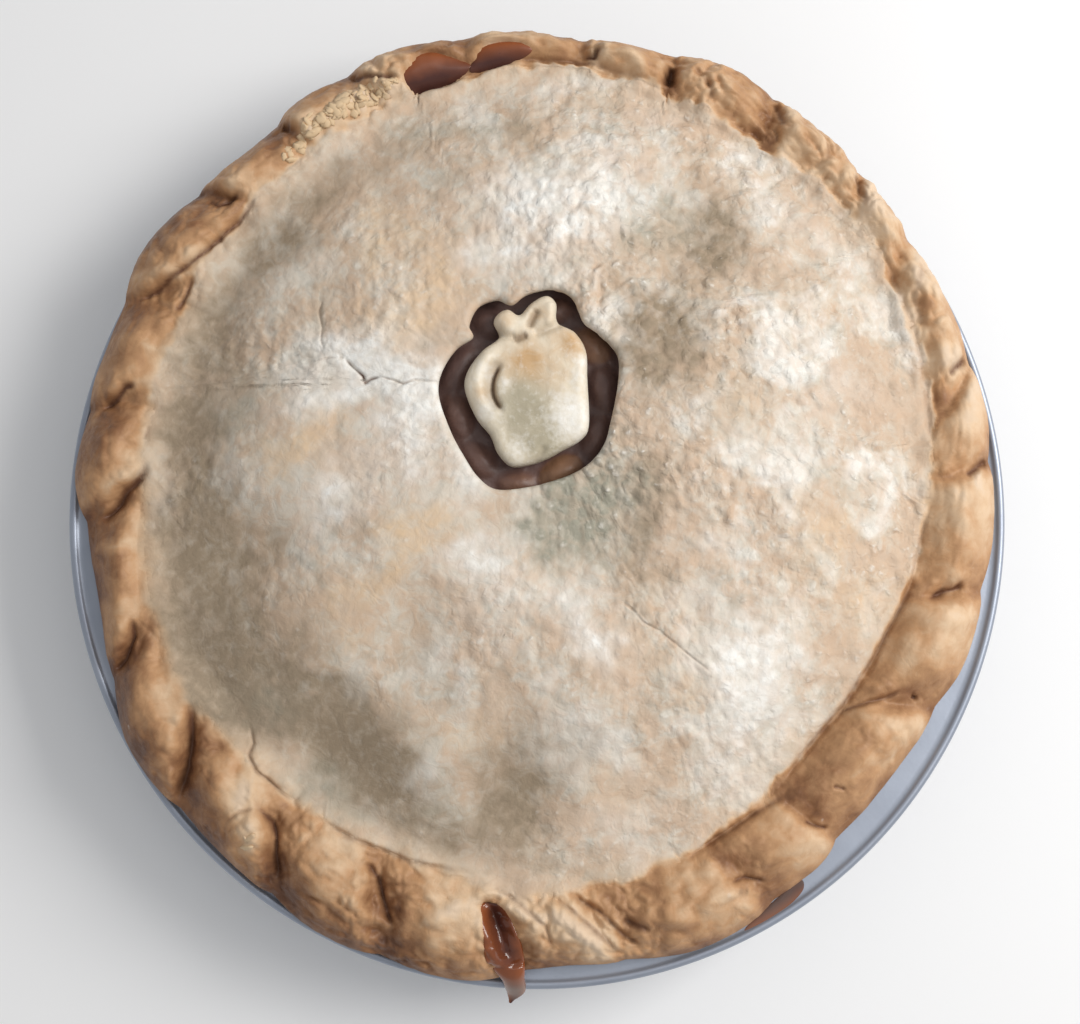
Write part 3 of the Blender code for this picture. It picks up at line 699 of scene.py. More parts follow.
# Lobes of the rope edge, by the photo's pixels: middle, half length and half width in pixels, turn,
# height in millimetres, how much paler (partly a painted highlight on the raised lobe; below 0, browner, as
# painted shade)
lobes = [
    (645, 66, 26, 20, -10.0, 1.8, 0.3), (705, 100, 22, 30, -40.0, 0.8, 0.1),
    (745, 95, 26, 18, -20.0, 1.2, 0.1), (806, 140, 30, 18, -50.0, 1.2, 0.05),
    (850, 175, 14, 26, -35.0, 0.8, 0.12), (890, 225, 28, 16, -60.0, 1.0, 0.1),
    (480, 42, 46, 12, 8.0, 1.0, 0.1), (560, 42, 34, 12, -5.0, 1.2, 0.1),
    (370, 98, 42, 18, 25.0, 1.3, 0.46), (310, 132, 36, 10, 42.0, 0.6, 0.3),
    (300, 118, 24, 12, 40.0, 0.8, 0.0), (231, 187, 13, 9, 30.0, 1.3, 0.3),
    (185, 225, 30, 18, 50.0, 1.0, 0.0), (150, 345, 30, 7, -20.0, 0.9, 0.2),
    (118, 430, 20, 32, 0.0, 0.9, 0.0), (118, 545, 22, 7, 0.0, 0.7, 0.3),
    (250, 838, 19, 16, 60.0, 1.7, 0.32), (330, 880, 44, 20, -35.0, 1.4, 0.14),
    (205, 780, 24, 40, 35.0, 1.0, 0.1), (236, 798, 20, 16, 40.0, 0.4, 0.3),
    (430, 930, 30, 36, 20.0, 0.9, 0.16), (518, 905, 38, 9, -30.0, 1.6, 0.42),
    (603, 940, 28, 17, -35.0, 2.0, 0.46), (680, 915, 40, 22, 25.0, 1.1, 0.1),
    (735, 850, 24, 14, 35.0, 0.9, 0.1), (835, 770, 36, 28, 40.0, 1.2, 0.0),
    (862, 750, 20, 12, 40.0, 0.8, -0.06), (915, 660, 26, 18, 65.0, 1.0, 0.12),
    (945, 357, 18, 14, -40.0, 1.3, 0.42), (975, 430, 14, 28, 0.0, 1.0, 0.1),
    (980, 476, 7, 8, 0.0, 0.8, 0.4), (965, 540, 16, 34, -5.0, 1.1, 0.06),
    (880, 700, 20, 12, 30.0, 0.6, 0.1), (803, 806, 18, 12, 35.0, 0.9, 0.14),
    # the lobes at (903, 278), (922, 308) and (937, 352) have no height: they paint the valley's shade by the
    # fold as browning
    (752, 864, 18, 10, 20.0, 0.6, 0.1), (903, 278, 20, 9, -60.0, 0.0, -0.25),
    (922, 308, 18, 9, -70.0, 0.0, -0.3), (937, 352, 20, 9, -75.0, 0.0, -0.2),
    (945, 620, 14, 16, 70.0, 0.6, 0.1), (135, 700, 18, 30, 20.0, 0.8, 0.05),
]
# Where the rope edge is flaky, by the photo's pixels: middle, half length and half width, turn, share
flakyLobes = [
    (362, 98, 46, 14, 30.0, 1.0), (325, 120, 34, 11, 40.0, 1.0), (296, 147, 34, 9, 45.0, 0.8),
    (248, 840, 14, 10, 60.0, 0.6),
]
# How the lid runs on into the edge round the pie: angle, share that the valley is bridged, half width
valleyBridge = [
    (0.0, 0.7, 5.0), (20.0, 0.85, 7.0), (60.0, 0.85, 7.0), (80.0, 0.4, 5.0), (95.0, 0.2, 4.0),
    (115.0, 0.6, 7.0), (135.0, 0.95, 10.0), (160.0, 0.95, 11.0), (200.0, 0.95, 11.0), (220.0, 0.85, 9.0),
    (245.0, 0.75, 8.0), (270.0, 0.8, 8.0), (300.0, 0.6, 6.0), (315.0, 0.3, 4.0), (330.0, 0.2, 4.0),
    (345.0, 0.4, 4.0),
]
# How far the lid's pale dough runs on over the fold: angle, millimetres, width of the change. Below 0, from
# 300 to 345 degrees, the edge's brown runs in over the fold instead, painting the shadow under the lid's
# overhanging edge
lidSpill = [
    (0.0, 0.0, 1.8), (80.0, 0.0, 1.6), (105.0, 0.6, 1.8), (125.0, 1.8, 2.4), (145.0, 2.8, 2.4),
    (160.0, 2.5, 3.4), (180.0, 1.2, 5.0), (215.0, 0.6, 5.0), (240.0, 0.0, 4.0), (270.0, 0.0, 3.5),
    (300.0, -1.0, 2.0), (320.0, -1.4, 1.6), (345.0, -0.6, 1.6),
]
# How crumbly the rope edge is round the pie: angle, share
edgeCrumble = [
    (0.0, 0.35), (25.0, 0.6), (45.0, 1.0), (75.0, 1.0), (110.0, 0.9), (135.0, 0.55), (160.0, 0.3),
    (200.0, 0.3), (225.0, 0.5), (245.0, 0.9), (270.0, 0.8), (290.0, 0.7), (310.0, 0.3), (340.0, 0.35),
]
# Slits, folds and cracks, drawn in the photo's pixels from their outer end: points, half width and depth
# in millimetres, darkness (painted shade down in the stroke), and how far the dough on the left of the stroke
# stands up (below 0: on the right)
creases = [
    ([(206, 198), (217, 204), (228, 201), (239, 193)], 0.7, 1.3, 0.85, -0.9),
    ([(132, 298), (152, 290), (172, 278), (196, 262), (222, 236), (243, 215), (255, 200)],
     0.75, 1.5, 0.85, 1.3),
    ([(175, 312), (186, 294), (193, 278)], 0.75, 1.2, 0.75, 0.4),
    ([(99, 408), (115, 397), (125, 387), (136, 385)], 0.75, 1.7, 0.95, 0.8),
    ([(145, 440), (149, 425)], 0.7, 0.6, 0.35, 0.0),
    ([(98, 519), (112, 508), (125, 490), (139, 479), (152, 464)], 1.1, 2.2, 0.9, 1.2),
    ([(111, 669), (122, 659), (131, 637), (133, 617)], 0.75, 1.7, 0.95, 0.8),
    ([(175, 794), (185, 768), (189, 743), (190, 723), (191, 706)], 1.05, 2.3, 1.0, 1.4),
    ([(276, 881), (274, 858), (275, 838), (271, 822), (257, 805)], 0.8, 1.9, 0.95, 1.3),
    ([(227, 822), (240, 812), (255, 808)], 0.6, 0.8, 0.4, -0.4),
    ([(390, 926), (383, 903), (377, 878), (365, 862)], 0.85, 2.0, 0.95, 1.3),
    ([(505, 962), (497, 930), (488, 905)], 1.2, 1.6, 0.5, 1.0),
    ([(640, 945), (626, 938), (602, 914), (568, 893)], 0.8, 1.4, 0.55, 0.9),
    ([(622, 919), (636, 925), (651, 930)], 1.3, 1.6, 0.8, 0.0),
    ([(766, 882), (744, 878), (731, 883)], 0.55, 1.2, 0.8, 0.2),
    ([(748, 892), (738, 890)], 1.6, 1.0, 0.35, 0.0),
    ([(830, 829), (818, 827), (804, 821)], 0.6, 1.3, 0.9, 0.3),
    ([(845, 789), (832, 786)], 0.55, 1.0, 0.75, 0.0),
    ([(901, 691), (889, 697), (870, 702), (846, 711), (832, 723)], 0.6, 1.2, 0.65, -0.6),
    ([(919, 695), (915, 699)], 1.0, 1.8, 0.9, 0.0),
    ([(967, 583), (957, 588), (945, 591), (928, 601)], 1.0, 1.9, 0.9, -0.9),
    ([(992, 457), (984, 463), (975, 470), (966, 476)], 1.15, 1.9, 0.8, -0.6),
    ([(971, 354), (963, 362), (955, 368), (949, 376)], 1.2, 2.0, 0.75, -1.1),
    ([(553, 950), (546, 926), (520, 904), (486, 880)], 0.6, 0.9, 0.35, 0.6),
    ([(617, 953), (600, 935), (575, 912), (556, 900)], 0.7, 1.2, 0.45, 1.0),
    ([(924, 264), (917, 279), (914, 295), (917, 312), (925, 330)], 1.4, 1.1, 0.35, -0.6),
    ([(857, 173), (862, 188), (867, 209)], 1.2, 1.5, 0.5, -0.5),
    ([(829, 143), (827, 163)], 1.0, 0.9, 0.35, 0.3),
    ([(778, 99), (782, 112), (783, 130)], 1.1, 1.7, 0.6, 0.4),
    ([(694, 69), (709, 89), (712, 102)], 0.9, 1.2, 0.4, -0.7),
    ([(674, 63), (671, 72), (668, 85)], 1.6, 2.6, 0.95, -0.6),
    ([(599, 48), (594, 58), (584, 54)], 1.0, 1.8, 0.85, 0.3),
    ([(348, 74), (368, 76), (381, 79), (400, 79)], 0.8, 1.6, 0.8, 0.0),
    ([(280, 123), (290, 126)], 1.2, 1.8, 0.8, 0.0),
]
# Folds where the lid meets the edge, drawn in the same way; their darkness paints the shadow under the lid's
# overhanging edge
folds = [
    ([(912, 584), (903, 607), (879, 647), (861, 678), (842, 706), (818, 735), (799, 758), (785, 779)],
     0.9, 1.2, 0.6, -1.1),
    ([(787, 796), (747, 820), (700, 848)], 0.8, 0.9, 0.55, 0.6),
    ([(760, 807), (739, 823), (701, 847), (683, 866)], 0.6, 0.8, 0.3, -0.3),
    ([(882, 246), (898, 288), (909, 326), (925, 388), (927, 428), (931, 449)], 1.0, 0.9, 0.25, -0.5),
    ([(930, 508), (914, 567), (906, 596)], 0.9, 1.0, 0.3, -0.6),
    ([(327, 822), (349, 836), (377, 847), (411, 861), (473, 872)], 0.8, 0.8, 0.35, 0.3),
    ([(420, 92), (445, 80), (470, 68), (520, 57), (580, 60), (668, 86)], 0.9, 1.5, 0.45, -0.8),
]
# Cracks of the lid, drawn in the same way
cracks = [
    ([(380, 377), (371, 379), (365, 383), (363, 376), (352, 366), (344, 358)], 0.4, 0.9, 0.75, 0.25),
    ([(432, 382), (415, 380), (403, 384), (392, 380), (380, 377)], 0.3, 0.6, 0.4, 0.2),
    ([(344, 358), (330, 358), (303, 363)], 0.3, 0.35, 0.2, 0.15),
    ([(303, 363), (241, 379), (165, 389)], 0.5, -0.35, 0.0, -0.25),
    ([(323, 298), (319, 312), (322, 327), (321, 340), (324, 351)], 0.35, 0.4, 0.25, 0.15),
    ([(621, 601), (633, 610), (643, 622), (660, 631), (674, 643), (695, 660), (716, 677)],
     0.32, 0.35, 0.25, 0.2),
    ([(250, 726), (254, 743), (250, 755), (259, 771), (272, 781), (282, 791), (292, 802)],
     0.5, 0.8, 0.55, 0.4),
]
strokes = creases + folds + cracks


def photoPlace(px, py, height):  # the place on the plan, at that height, that a pixel of the photo shows
    tilt = math.radians(view["tilt"])
    right = (px - view["aimPixel"][0]) / view["focalPixels"]
    up = (view["aimPixel"][1] - py) / view["focalPixels"]
    ray = (right, math.cos(tilt) * up + math.sin(tilt), math.sin(tilt) * up - math.cos(tilt))
    away = view["distance"]
    eye = (0.0, -math.sin(tilt) * away, view["aimHeight"] + math.cos(tilt) * away)
    reach = (height - eye[2]) / ray[2]
    return eye[0] + ray[0] * reach, eye[1] + ray[1] * reach


def strokePath(pixels):  # a stroke's points on the plan, at the crust's own height
    path = []
    for px, py in pixels:
        x, y = photoPlace(px, py, edgeScale[0])
        for step in range(3):
            onLid = foldDistance(np.array(x), np.array(y))[0] > 0.0
            height = float(lidHeight(np.array(x), np.array(y))) if onLid else crustForm["edgeTop"]
            x, y = photoPlace(px, py, height)
        path.append((x, y))
    return path


creasePaths, foldPaths, crackPaths = (
    [strokePath(points) for points, *rest in drawn] for drawn in (creases, folds, cracks)
)
strokePaths = creasePaths + foldPaths + crackPaths


def strokeMasks(x, y, wobble):
    # what all the strokes do to each place: height, darkness (painted shade in slits, cracks and under folds)
    # and how far it is a raised lip
    height = np.zeros(np.shape(x))
    dark = np.zeros(np.shape(x))
    lip = np.zeros(np.shape(x))
    for path, (pixels, width, depth, darkness, stand) in zip(strokePaths, strokes):
        xs, ys = zip(*path)
        near = (x > min(xs) - 9.0) & (x < max(xs) + 9.0) & (y > min(ys) - 9.0) & (y < max(ys) + 9.0)
        if not near.any():
            continue
        hereX, hereY = x[near], y[near]
        far, along = strokeDistance(hereX, hereY, path)
        count = len(path) - 1
        piece = np.clip((along * count).astype(int), 0, count - 1)
        starts = np.array(path[:-1])[piece]
        steps = np.diff(np.array(path), axis=0)[piece]
        side = np.sign(steps[:, 0] * (hereY - starts[:, 1]) - steps[:, 1] * (hereX - starts[:, 0]))
        taper = ease(along * 5.0 + 0.25) * ease((1.0 - along) * 4.0 + 0.15)
        rough = np.abs(far + 0.22 * width * wobble[near])
        offset = far * side * np.sign(stand if stand else 1.0)
        groove = bell(rough, width) * taper
        raised = bell(offset - 2.4, 2.2) * taper * np.abs(stand)
        lowered = bell(offset + 1.6, 1.8) * taper * np.abs(stand)
        height[near] += raised - 0.5 * lowered - depth * groove
        dark[near] = np.maximum(dark[near], darkness * bell(rough, width * 0.75) * taper)
        lip[near] = np.maximum(lip[near], np.clip(raised, 0.0, 1.0))
    return height, dark, lip


def spotted(x, y, spots):
    return sum(
        power * np.exp(-((x - spotX) ** 2 + (y - spotY) ** 2) / size ** 2)
        for spotX, spotY, size, power in spots
    )


def onPlan(x, y):
    return np.stack([x, y, np.zeros_like(x)], axis=-1)


def patch(x, y, px, py, length, width, turn, height, pixelSize):  # an oval bell, by the photo's pixels
    middleX, middleY = photoPlace(px, py, height)
    angle = math.radians(turn)
    along = ((x - middleX) * math.cos(angle) + (y - middleY) * math.sin(angle)) / (length * pixelSize)
    beside = ((y - middleY) * math.cos(angle) - (x - middleX) * math.sin(angle)) / (width * pixelSize)
    return np.exp(-along ** 2 - beside ** 2)


def painted(x, y, name, seed):  # soft patches of the lid, with ragged edges
    flat = onPlan(x, y)
    bendX = 4.5 * grain(flat, 12.0, seed) + 1.6 * grain(flat, 3.6, seed + 1)
    bendY = 4.5 * grain(flat, 12.0, seed + 2) + 1.6 * grain(flat, 3.6, seed + 3)
    strength = sum(
        power * patch(x + bendX, y + bendY, *place, *lidScale) for *place, power in lidPaint[name]
    )
    mottle = 0.35 * grain(flat, 6.0, seed + 4) + 0.3 * grain(flat, 2.6, seed + 5)
    return ease((strength * (1.0 + mottle) - 0.02) / 1.15)


# Pools at the far side and a smear on the flange: outline in the photo's pixels, thickness,
# height above the table (none on the crust)
syrupPools = {
    "syrupPocketLeft": (
        [(403, 79), (408, 69), (418, 57), (429, 52), (442, 54), (456, 58), (470, 64), (467, 71), (456, 79),
         (442, 84), (427, 88), (413, 93)], 0.5, None, "syrup_pocket_left",
    ),
    "syrupPocketRight": (
        [(471, 71), (473, 60), (481, 49), (494, 44), (510, 43), (523, 46), (532, 53), (520, 60), (506, 65),
         (490, 69)], 0.5, None, "syrup_pocket_right",
    ),
    "syrupSmear": (
        [(744, 931), (757, 916), (775, 900), (790, 886), (802, 880), (803, 890), (790, 905),
         (772, 921), (755, 933)], 0.25, 34.3, None,
    ),
}


def poolOutline(pixels, height):
    level = poolLevel if height is None else height
    return roundedOutline([photoPlace(px, py, level) for px, py in pixels], 6)


def lobed(x, y):  # single lobes of the rope edge: their height, and how much paler they are, partly as a painted highlight
    height = np.zeros(np.shape(x))
    pale = np.zeros(np.shape(x))
    flat = onPlan(x, y)
    bendX, bendY = 1.5 * grain(flat, 5.0, 91), 1.5 * grain(flat, 5.0, 92)
    for *place, rise, paler in lobes:
        form = patch(x + bendX, y + bendY, *place, *edgeScale)
        height += rise * form
        pale += paler * form
    return height, pale


def aroundPie(x, y, table):  # the table's columns, read off at each place's angle
    first, *columns = zip(*table)
    angle = np.degrees(np.arctan2(y, x))
    return [np.interp(angle, first, column, period=360.0) for column in columns]


def bridged(x, y, height, inside):  # softens the valley between lid and rope edge
    share, reach = aroundPie(x, y, valleyBridge)
    awayX = x - crustForm["lidCentre"][0]
    awayY = y - crustForm["lidCentre"][1]
    away = np.maximum(np.hypot(awayX, awayY), 1.0)
    inward = (away + inside - reach) / away
    outward = (away + inside + reach) / away
    centre = crustForm["lidCentre"]
    within = lidHeight(centre[0] + awayX * inward, centre[1] + awayY * inward)
    without = edgeHeight(centre[0] + awayX * outward, centre[1] + awayY * outward)[0]
    place = np.clip(inside / reach, -1.0, 1.0)
    straight = blend(without, within, 0.5 + 0.5 * place)
    weight = share * (1.0 - place ** 2) ** 2
    return blend(height, np.maximum(straight, height), weight)


def surveyCrust(x, y):  # what the crust's height and its colours are both worked out from
    flat = onPlan(x, y)
    inside = foldDistance(x, y)[0]
    edge, across, along = edgeHeight(x, y)
    lidShare = ease((inside + 3.0) / 7.0)
    patchy = grain(flat, 26.0, 3)
    rightSide = ease((x + 45.0) / 80.0)
    nearSide = ease((20.0 - y) / 80.0)
    rough = np.clip((0.3 + 0.6 * rightSide + 0.5 * patchy) * (1.0 - 0.4 * nearSide), 0.1, 1.1)
    bendX, bendY = 1.6 * grain(flat, 6.0, 8), 1.6 * grain(flat, 6.0, 9)
    plateSize = crustLook["plateSize"]
    plates = np.abs(grain(flat, plateSize, 15)) + 0.5 * np.abs(grain(flat, 2.6, 16))
    crumble = aroundPie(x, y, edgeCrumble)[0]
    lobeRise, lobePale = lobed(x, y)
    strokeRise, dark, lip = strokeMasks(x, y, grain(flat, 2.6, 6))
    dark = dark * blend(1.0, np.clip(0.75 + 0.9 * grain(flat, 3.0, 7), 0.2, 1.1), lidShare)
    spill, change = aroundPie(x, y, lidSpill)
    ragged = 2.4 * grain(flat, 7.0, 35) + 1.6 * grain(flat, 2.8, 36)
    onLid = ease((inside + spill + ragged * (0.4 + 0.6 * crumble)) / change + 0.5)
    return SimpleNamespace(
        x=x, y=y, flat=flat, inside=inside, edge=edge, across=across, lidShare=lidShare, onLid=onLid,
        patchy=patchy, rough=rough, plates=plates, crumble=crumble,
        blister=blisters(x + bendX, y + bendY, crustLook["blisterPitch"], 5, 0.25, 0.55),
        fineBlister=blisters(x + bendX, y - bendY, crustLook["fineBlisterPitch"], 11, 0.25, 0.55),
        twist=ease(along * 1.1) * (1.0 - ease((along - 0.86) / 0.14)),
        lobeRise=lobeRise, lobePale=lobePale, strokeRise=strokeRise, dark=dark, lip=lip,
        **{name: painted(x, y, name, seed) * onLid for name, seed in patchSeeds.items()},
    )


def crustRelief(spot):  # the height of the crust's upper face, with all its relief
    base = np.where(spot.inside > 0.0, lidHeight(spot.x, spot.y), spot.edge)
    base = bridged(spot.x, spot.y, base, spot.inside)
    edgeShare = 1.0 - spot.lidShare
    onEdge = 0.3 + 0.7 * spot.lidShare
    dimples = grain(spot.flat, crustLook["dimpleSize"], 2) * (0.35 + 0.65 * spot.rough)
    lumpy = grain(spot.flat, crustLook["edgeLumpSize"], 12) + 0.3 * grain(spot.flat, 3.6, 13)
    lidPlates = crustLook["plateHeight"] * spot.rough * spot.lidShare
    edgePlates = crustLook["crumbleHeight"] * spot.crumble * edgeShare
    arch = np.sin(np.pi * np.clip(spot.across, 0.0, 1.0))
    height = crustLook["lumpHeight"] * grain(spot.flat, crustLook["lumpSize"], 1)
    height += crustLook["dimpleHeight"] * dimples
    height += crustLook["edgeLumpHeight"] * edgeShare * lumpy
    height += spot.plates * (lidPlates + edgePlates)
    height += crustLook["blisterHeight"] * spot.blister * spot.rough * onEdge
    height += crustLook["fineBlisterHeight"] * spot.fineBlister * spot.rough * onEdge
    height += crustLook["twistHeight"] * spot.twist * arch * edgeShare
    height = (height + spot.strokeRise + spot.lobeRise) * (1.0 - 0.5 * ease((spot.across - 0.9) / 0.1))
    height += 0.3 * (spot.warm + spot.pale) - 0.5 * (spot.damp + spot.cool)
    height += 0.8 * spot.crumble * (spot.onLid - 0.5) * bell(spot.inside, 5.0)
    z = sunkBelowPools(base + height, spot)
    return np.where(z > crustLook["highest"], blend(crustLook["highest"], z, 0.5), z)


def sunkBelowPools(z, spot):  # the crust is low and even where a pool of syrup lies on it
    near = np.hypot(spot.x - poolMiddle[0], spot.y - poolMiddle[1]) < poolReach
    for pixels, thickness, level, node in syrupPools.values():
        if level is None and near.any():
            depth = insideDistance(spot.x[near], spot.y[near], poolOutline(pixels, level))
            low = np.minimum(z[near], spot.edge[near] - crustLook["pocketDepth"])
            z[near] = blend(z[near], low, ease(depth / 1.2 + 0.5))
    return z


def crustHeight(x, y):
    return crustRelief(surveyCrust(x, y))


def crustMasks(spot):  # the masks that the crust's finish reads, each from 0 to 1
    flat, across = spot.flat, spot.across
    spread, reach = aroundPie(spot.x, spot.y, lidBrowning)
    byFold = np.exp(-np.clip(spot.inside, 0.0, 99.0) / reach)
    lidBake = 0.05 + 0.06 * grain(flat, 15.0, 26) + spread * byFold
    byLid, outer = aroundPie(spot.x, spot.y, edgeBrowningAndShade)
    edgeBake = blend(byLid, outer, ease((across - 0.1) / 0.7)) + 0.1 * ease((across - 0.8) / 0.2)
    # the last term makes each crimp paler as it rises towards its slit and browner where it starts low: a
    # painted highlight on the crest and painted shade in the hollow
    edgeBake += 0.16 * grain(flat, 11.0, 31) + 0.12 * grain(flat, 4.5, 32) - 0.3 * (spot.twist - 0.4)
    # raised lips and lobes made paler, partly as a painted highlight on them; lobes below 0 paint the
    # valley's shade as browning
    edgeBake += 0.22 * spot.crumble * (0.45 - spot.plates) - 0.1 * spot.lip - spot.lobePale
    flaky = np.zeros_like(spot.x)
    for *place, share in flakyLobes:
        flaky = np.maximum(flaky, share * patch(spot.x, spot.y, *place, *edgeScale))
    # whiter on the blisters' tops: flour, and partly a painted highlight on them
    blisterWhite = (0.6 * spot.blister + 0.4 * spot.fineBlister) * (0.7 + 0.6 * spot.patchy)
    blisterWhite += 0.2 * grain(flat, 3.0, 25)
    masks = {
        "bake": blend(edgeBake, lidBake, spot.onLid),
        "flour": blisterWhite * (0.15 + 0.85 * spot.lidShare),
        "flaky": ease((flaky - 0.3) / 0.4) * (across < 0.8) * (1.0 - spot.dark),
        "rough": spot.rough * spot.lidShare, "dark": spot.dark, "lid": spot.onLid,
        "damp": spot.damp, "cool": spot.cool, "warm": spot.warm, "pale": spot.pale,
    }
    return {name: np.clip(values, 0.0, 1.0) for name, values in masks.items()}


def stacked(topMasks, extraRings, first):  # masks of the top, carried on over plainer rings
    masks = {}
    for name, values in topMasks.items():
        ring = values[:1] if first else values[-1:]
        carried = np.repeat(ring * (0.0 if name in ("dark", "flaky") else 1.0), extraRings, axis=0)
        masks[name] = np.concatenate([carried, values] if first else [values, carried])
    return masks


def radiusByAngle(angles, outline):  # how far an outline round the origin lies that way
    found = np.arctan2(outline[:, 1], outline[:, 0])
    order = np.argsort(found)
    far = np.hypot(outline[:, 0], outline[:, 1])
    return np.interp(angles, found[order], far[order], period=2.0 * np.pi)


# How finely the crust's two meshes are cut, and how they meet below the fold, in millimetres
crustMesh = {
    "lidColumns": 740, "lidRings": 118, "edgeColumns": 1080, "innerRings": 48, "outerRings": 16,
    "overlap": 2.4, "dive": 2.2, "ventRounding": 1.8,
    "ventTurns": (25.0, 50.0, 72.0, 90.0),     # degrees round the vent's lip
    "ventWall": ((2.6, 0.0), (3.4, 0.25), (3.9, 1.0), (4.0, 3.0)),     # below the lip, and back from the vent
    "underShares": (0.25, 0.5, 0.7, 0.82, 0.9),
    "underDepth": 3.8,
    # the edge's outer side: how far in, and the share of the edge's thickness
    "edgeCurl": ((0.05, 0.8), (0.1, 0.55), (0.5, 0.35), (1.2, 0.2), (2.2, 0.08), (4.5, 0.0)),
}


def makeLid(material):
    # rings run over the top from beyond the fold to the vent, down the vent's wall and back beneath
    middle = np.array(crustForm["ventCentre"])
    crackPlaces = np.vstack([smoothRows(path, 12) for path in crackPaths]) - middle
    focus = np.degrees(np.arctan2(crackPlaces[:, 1], crackPlaces[:, 0]))
    angles = np.radians(crowdedTurns(crustMesh["lidColumns"], focus, 1.6))
    foldRadius = radiusByAngle(angles, foldOutline - middle)
    ventRadius = radiusByAngle(angles, roundedOutline(ventOutline, 12) - middle)
    way = np.stack([np.cos(angles), np.sin(angles)], axis=-1)
    rounding = crustMesh["ventRounding"]
    outer = foldRadius + crustMesh["overlap"]
    start = ventRadius + rounding
    trial = start + (outer - start) * np.linspace(1.0, 0.0, 360)[:, None]
    trialX, trialY = middle[0] + way[:, 0] * trial, middle[1] + way[:, 1] * trial
    shares = 1.0 - crowdedShares(trialX, trialY, crustMesh["lidRings"], foldPaths + crackPaths)
    radius = start + (outer - start) * shares
    spot = surveyCrust(middle[0] + way[:, 0] * radius, middle[1] + way[:, 1] * radius)
    beyond = np.clip((radius - foldRadius) / crustMesh["overlap"], 0.0, 1.0)
    top = np.stack([spot.x, spot.y, crustRelief(spot) - crustMesh["dive"] * beyond ** 2], axis=-1)
    lip = top[-1, :, 2]
    wall = []
    for angle in np.radians(crustMesh["ventTurns"]):
        place = middle + way * (ventRadius + rounding * (1.0 - math.sin(angle)))[:, None]
        wall.append(np.column_stack([place, lip - rounding * (1.0 - math.cos(angle))]))
    for drop, back in crustMesh["ventWall"]:
        wall.append(np.column_stack([middle + way * (ventRadius + back)[:, None], lip - drop]))
    for share in crustMesh["underShares"]:
        under = middle + way * blend(ventRadius, outer, share)[:, None]
        wall.append(np.column_stack([under, lidHeight(*under.T) - crustMesh["underDepth"]]))
    wall.append(np.column_stack([middle + way * (outer - 0.8)[:, None], top[0, :, 2] - 1.8]))
    grid = np.concatenate([top, np.array(wall)])
    masks = stacked(crustMasks(spot), len(wall), False)
    mesh = ringsToMesh("crustLid", grid, looped=True, masks=masks)
    return addPiece("crustLid", mesh, "crust", material)


def makeCase(material):
    # the rope edge, with the bottom crust that it is one piece with
    columns = crustMesh["edgeColumns"]
    wall, corner, mouth = tinForm["wall"], tinForm["corner"], tinForm["mouthRadius"]
    gap = crustForm["gap"]
    creasePlaces = np.vstack([smoothRows(path, 9) for path in creasePaths])
    turns = crowdedTurns(columns, np.degrees(np.arctan2(creasePlaces[:, 1], creasePlaces[:, 0])), 1.0)
    angle = np.radians(turns)
    foldRadius = radiusByAngle(angle, foldOutline)
    edgeRadius = reachAt(turns, pillow(turns)) - 0.02
    inner = foldRadius - crustMesh["overlap"]
    shares = np.concatenate([
        np.linspace(0.0, 0.84, crustMesh["innerRings"], endpoint=False),
        np.linspace(0.84, 1.0, crustMesh["outerRings"]),
    ])
    radius = inner + (edgeRadius - inner) * shares[:, None]
    spot = surveyCrust(radius * np.cos(angle), radius * np.sin(angle))
    sunk = np.clip((foldRadius - radius) / crustMesh["overlap"], 0.0, 1.0)
    top = np.stack([spot.x, spot.y, crustRelief(spot) - crustMesh["dive"] * sunk ** 2], axis=-1)
    outside = []
    for inset, lift in crustMesh["edgeCurl"]:
        ringRadius = edgeRadius - inset
        floorHeight = underEdge(ringRadius) + 0.05
        outside.append(polar(ringRadius, turns, floorHeight + (top[-1, :, 2] - floorHeight) * lift))
    for ringRadius, height in (
        (mouth + 0.6, underEdge(mouth)),
        (wallRadius(flangeTop - 1.5) - gap, flangeTop - 1.5),
        (wallRadius(20.0) - gap, 20.0),
        (wallRadius(wall + corner) - gap, wall + corner),
        (wallRadius(wall) - corner * 0.8, wall + gap),
    ):
        outside.append(polar(np.full(columns, ringRadius), turns, height))
    within = []
    floorHeight = wall + gap + crustForm["wall"]
    for height, shrink in ((floorHeight, 3.0), (floorHeight + 4.0, 0.0), (28.0, 0.0), (34.0, 0.0)):
        ringRadius = np.minimum(wallRadius(height) - crustForm["wall"] - shrink, inner - 1.0)
        within.append(polar(ringRadius, turns, height))
    grid = np.concatenate([np.array(within), top, np.array(outside)])
    masks = stacked(stacked(crustMasks(spot), len(within), True), len(outside), False)
    poles = ((0.0, 0.0, floorHeight), (0.0, 0.0, wall + gap))
    mesh = ringsToMesh("crustEdge", grid, poles=poles, masks=masks)
    return addPiece("crustEdge", mesh, "crust", material)


